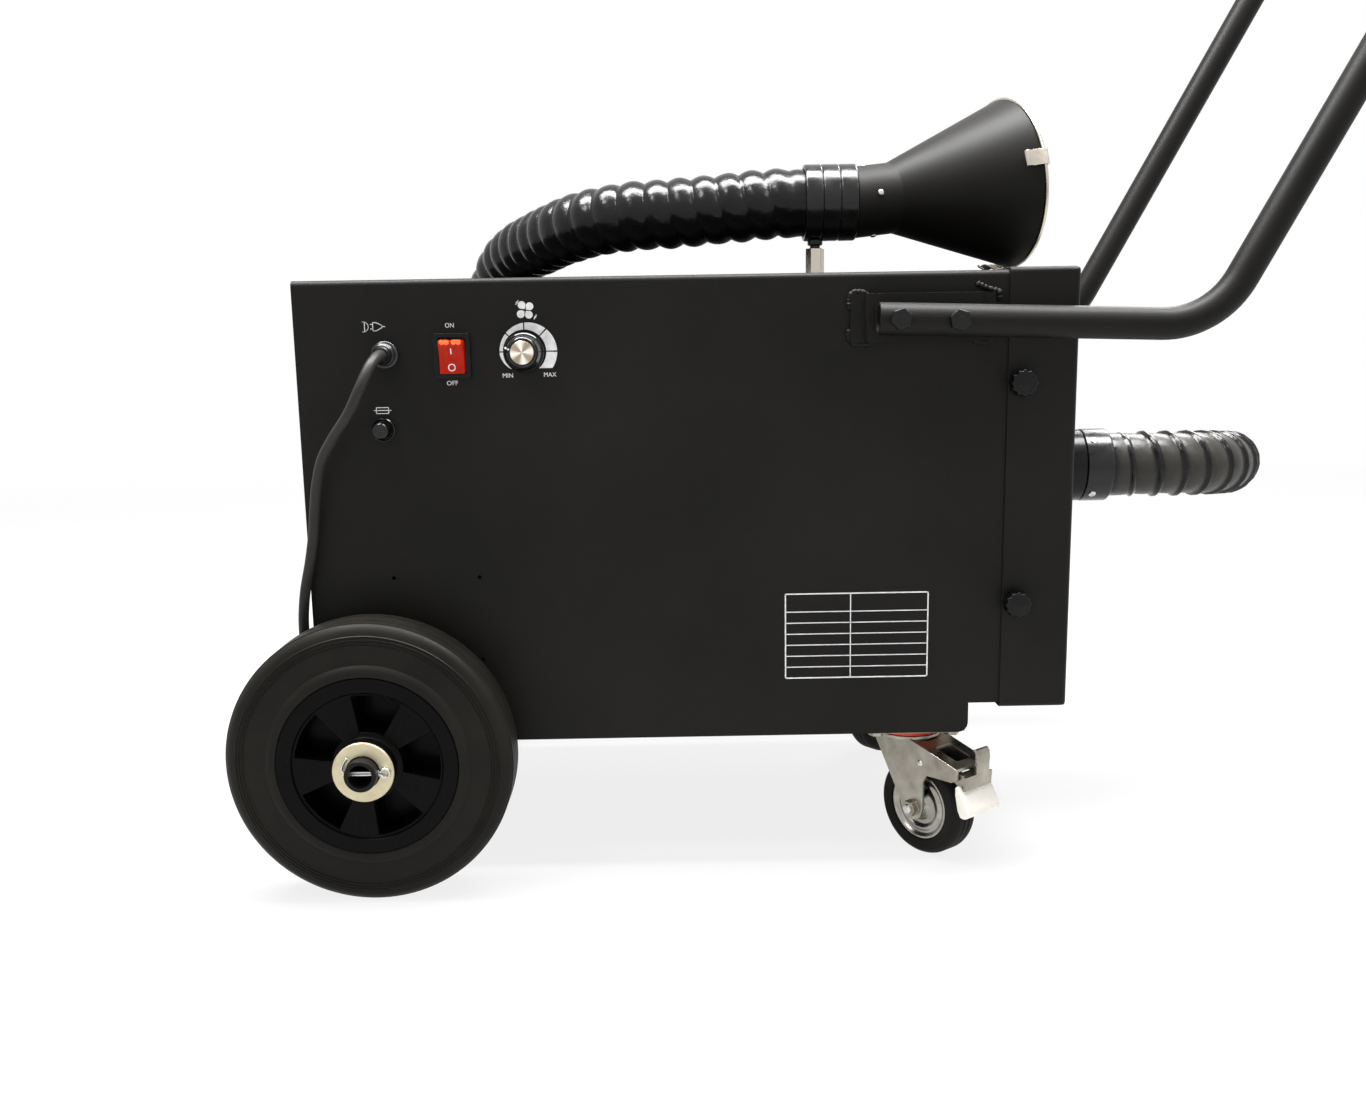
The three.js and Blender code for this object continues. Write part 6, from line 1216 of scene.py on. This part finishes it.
HOOD_LEVEL = 489.4
HOOD = spot(407, MIDDLE, HOOD_LEVEL)
tilt, yaw = math.radians(6.7), math.radians(14.3)
hood_way = Vector((math.cos(tilt) * math.cos(yaw), math.cos(tilt) * math.sin(yaw), math.sin(tilt)))
funnel = turned([
    (24.2, -9), (27.3, -9), (27.3, 28.9), (27.4, 29.7), (27.8, 30.9), (28.5, 32.6), (64.6, 127.0),
    (65.2, 128.6), (65.4, 129.0), (64.0, 129.0), (63.6, 128.0), (27.4, 33.0), (26.4, 31.0), (26.0, 29.0),
    (24.2, 10), (24.2, -9),
], hood_way, HOOD, 120)
bmesh.ops.bisect_plane(funnel, geom=funnel.verts[:] + funnel.edges[:] + funnel.faces[:], dist=1e-7,
                       plane_co=HOOD, plane_no=(-1, 0, 0), clear_outer=True)
bmesh.ops.bridge_loops(funnel, edges=[e for e in funnel.edges if e.is_boundary])
piece("hood_funnel", funnel, powder_coat, "chassis", ["hood_cone"], sharp=32)

# Nickel plate on spring steel: warm, bright, polished by the rolls
polished_nickel = finish("nickel_plate_on_spring_steel", "#c4bcae", "#d6cfc2", 14, (0.16, 0.3), 2.2,
                         0.03, Metallic=1.0)
hoop = turned([
    (62.5, 129.4), (62.4, 131.6), (62.8, 132.2), (65.6, 132.3), (66.5, 131.9), (66.9, 131.2),
    (66.95, 130.4), (66.8, 129.7), (66.2, 129.4), (62.5, 129.4),
], hood_way, HOOD, 120)
CLIPS, FIRST_CLIP, CLIP_HALF = 3, math.radians(-12), 6
hood_side = hood_way.cross(Vector((0, 0, 1))).normalized()
hood_up = hood_side.cross(hood_way)
spring_clips = []
for i in range(CLIPS):
    a = FIRST_CLIP + 2 * math.pi * i / CLIPS
    outward = hood_side * math.cos(a) - hood_up * math.sin(a)
    clip_place = Matrix((hood_way, outward.cross(hood_way), outward)).transposed().to_4x4()
    spring_clips.append(plate_cut([
        (114.4, 66.1), (114.9, 68.0), (116.4, 69.0), (118.2, 68.6), (119.4, 67.6), (121.4, 67.2),
        (123.4, 68.1), (126.0, 68.3), (132.2, 68.3), (133.4, 67.6), (133.6, 66.0), (133.6, 61.0),
        (132.7, 61.0), (132.7, 66.4), (132.0, 67.2), (126.2, 67.1), (123.8, 67.0), (121.6, 66.2),
        (118.9, 66.5), (117.6, 67.4), (116.6, 67.7), (115.9, 67.2), (115.4, 65.9),
    ], -CLIP_HALF, CLIP_HALF, 0.25, Matrix.Translation(HOOD) @ clip_place, 1))
piece("hood_hoop", hoop, polished_nickel, "chassis", ["hood_ring"], sharp=40)
piece("hood_spring_clips", joined(spring_clips), polished_nickel, "chassis")

# Pan-head screws through the throat into the hose's end sleeve
SCREW_ALONG, THROAT_R = 11, 27.2
screws = []
for a in (8, 98, 188, 278):
    outward = hood_side * math.cos(math.radians(a)) + hood_up * math.sin(math.radians(a))
    place = HOOD + hood_way * SCREW_ALONG * MM + outward * THROAT_R * MM
    screws.append(turned([(0, -1), (2.5, -1), (2.5, 0.4), (2.2, 1.0), (1.5, 1.4), (0.7, 1.55),
                          (0.6, 1.1), (0, 1.1)], outward, place, 24))
piece("throat_screws", joined(screws), bright_zinc, "chassis")

# Cuff: heavy PVC, wound and fused, so its turns still show
cuff_pvc = finish("pvc_cuff_wound_and_fused", "#0c0c0c", "#121211", 12, (0.16, 0.3), 3.5, 0.12, IOR=1.52,
                  Specular_IOR_Level=0.35)
CUFF_BORE = 26.45


def wound_cuff(start, end, turns, level):
    """A cuff of so many turns, from start to end in mm along the machine, its axis at a level."""
    width = (end - start) / turns
    profile = [(CUFF_BORE, start)]
    for i in range(turns):
        a = start + i * width
        profile += [(28.3, a + 0.05), (29.0, a + 0.5), (29.35, a + 1.6), (29.3, a + width * 0.5),
                    (29.35, a + width - 1.6), (29.0, a + width - 0.5), (28.3, a + width - 0.05)]
    return turned([*profile, (CUFF_BORE, end), (CUFF_BORE, start)], (1, 0, 0), spot(0, MIDDLE, level))


piece("hood_hose_cuff", wound_cuff(366.0, 406.6, 3, HOOD_LEVEL), cuff_pvc, "chassis",
      ["hose_cuff_hood"], sharp=50)

# The rest: a black stud under the cuff, standing in a nickel plated socket screwed to the cabinet
REST_X, CABINET_TOP = 375.4, 430.35
stud = turned([(0, 442.7), (3.4, 442.7), (4.0, 443.4), (4.0, 456.4), (5.2, 456.8), (5.9, 457.4),
               (6.0, 458.8), (6.0, 461.5), (0, 461.5)], (0, 0, 1), spot(REST_X, MIDDLE, 0), 40)
piece("rest_stud", stud, black_oxide, "chassis")
socket = hexagon_head(12.8, 24.2, spot(REST_X, MIDDLE, CABINET_TOP), (0, 0, 1), 0.5, math.radians(30))
piece("rest_socket", socket, polished_nickel, "chassis", ["support_socket"], sharp=30)


# ---- Inlet -------------------------------------------------------------------------------------
# A moulded spigot is screwed on the filter cap with a flange. The hose is pushed over it inside a
# second wound cuff, which four blind rivets hold.

INLET_LEVEL, RIVETS_X, CUFF_R = 278.6, 597, 29.3
spigot = turned([
    (23, 543.3), (39.2, 543.3), (40, 543.9), (40, 544.7), (39.4, 545.3), (31.2, 545.5), (29.8, 546.2),
    (29, 547.8), (29, 589.4), (28.6, 590), (25.8, 590.2), (25.8, 596.4), (25.2, 597), (23, 597),
    (23, 543.3),
], (1, 0, 0), spot(0, MIDDLE, INLET_LEVEL), 96)
piece("inlet_sleeve", spigot, moulded_nylon, "chassis", ["inlet_spigot"])
piece("inlet_hose_cuff", wound_cuff(590.4, 612.2, 1, INLET_LEVEL), cuff_pvc, "chassis",
      ["hose_cuff_inlet"], sharp=50)
rivets = []
for a in (-47, 47, 133, 227):
    outward = Vector((0, -math.cos(math.radians(a)), math.sin(math.radians(a))))
    rivets.append(turned([(0, -1), (3.1, -1), (3.1, 0.1), (2.6, 0.8), (1.4, 1.1), (1.2, 0.6), (0, 0.6)],
                         outward, spot(RIVETS_X, MIDDLE, INLET_LEVEL) + outward * CUFF_R * MM, 24))
piece("inlet_rivets", joined(rivets), bright_zinc, "chassis")
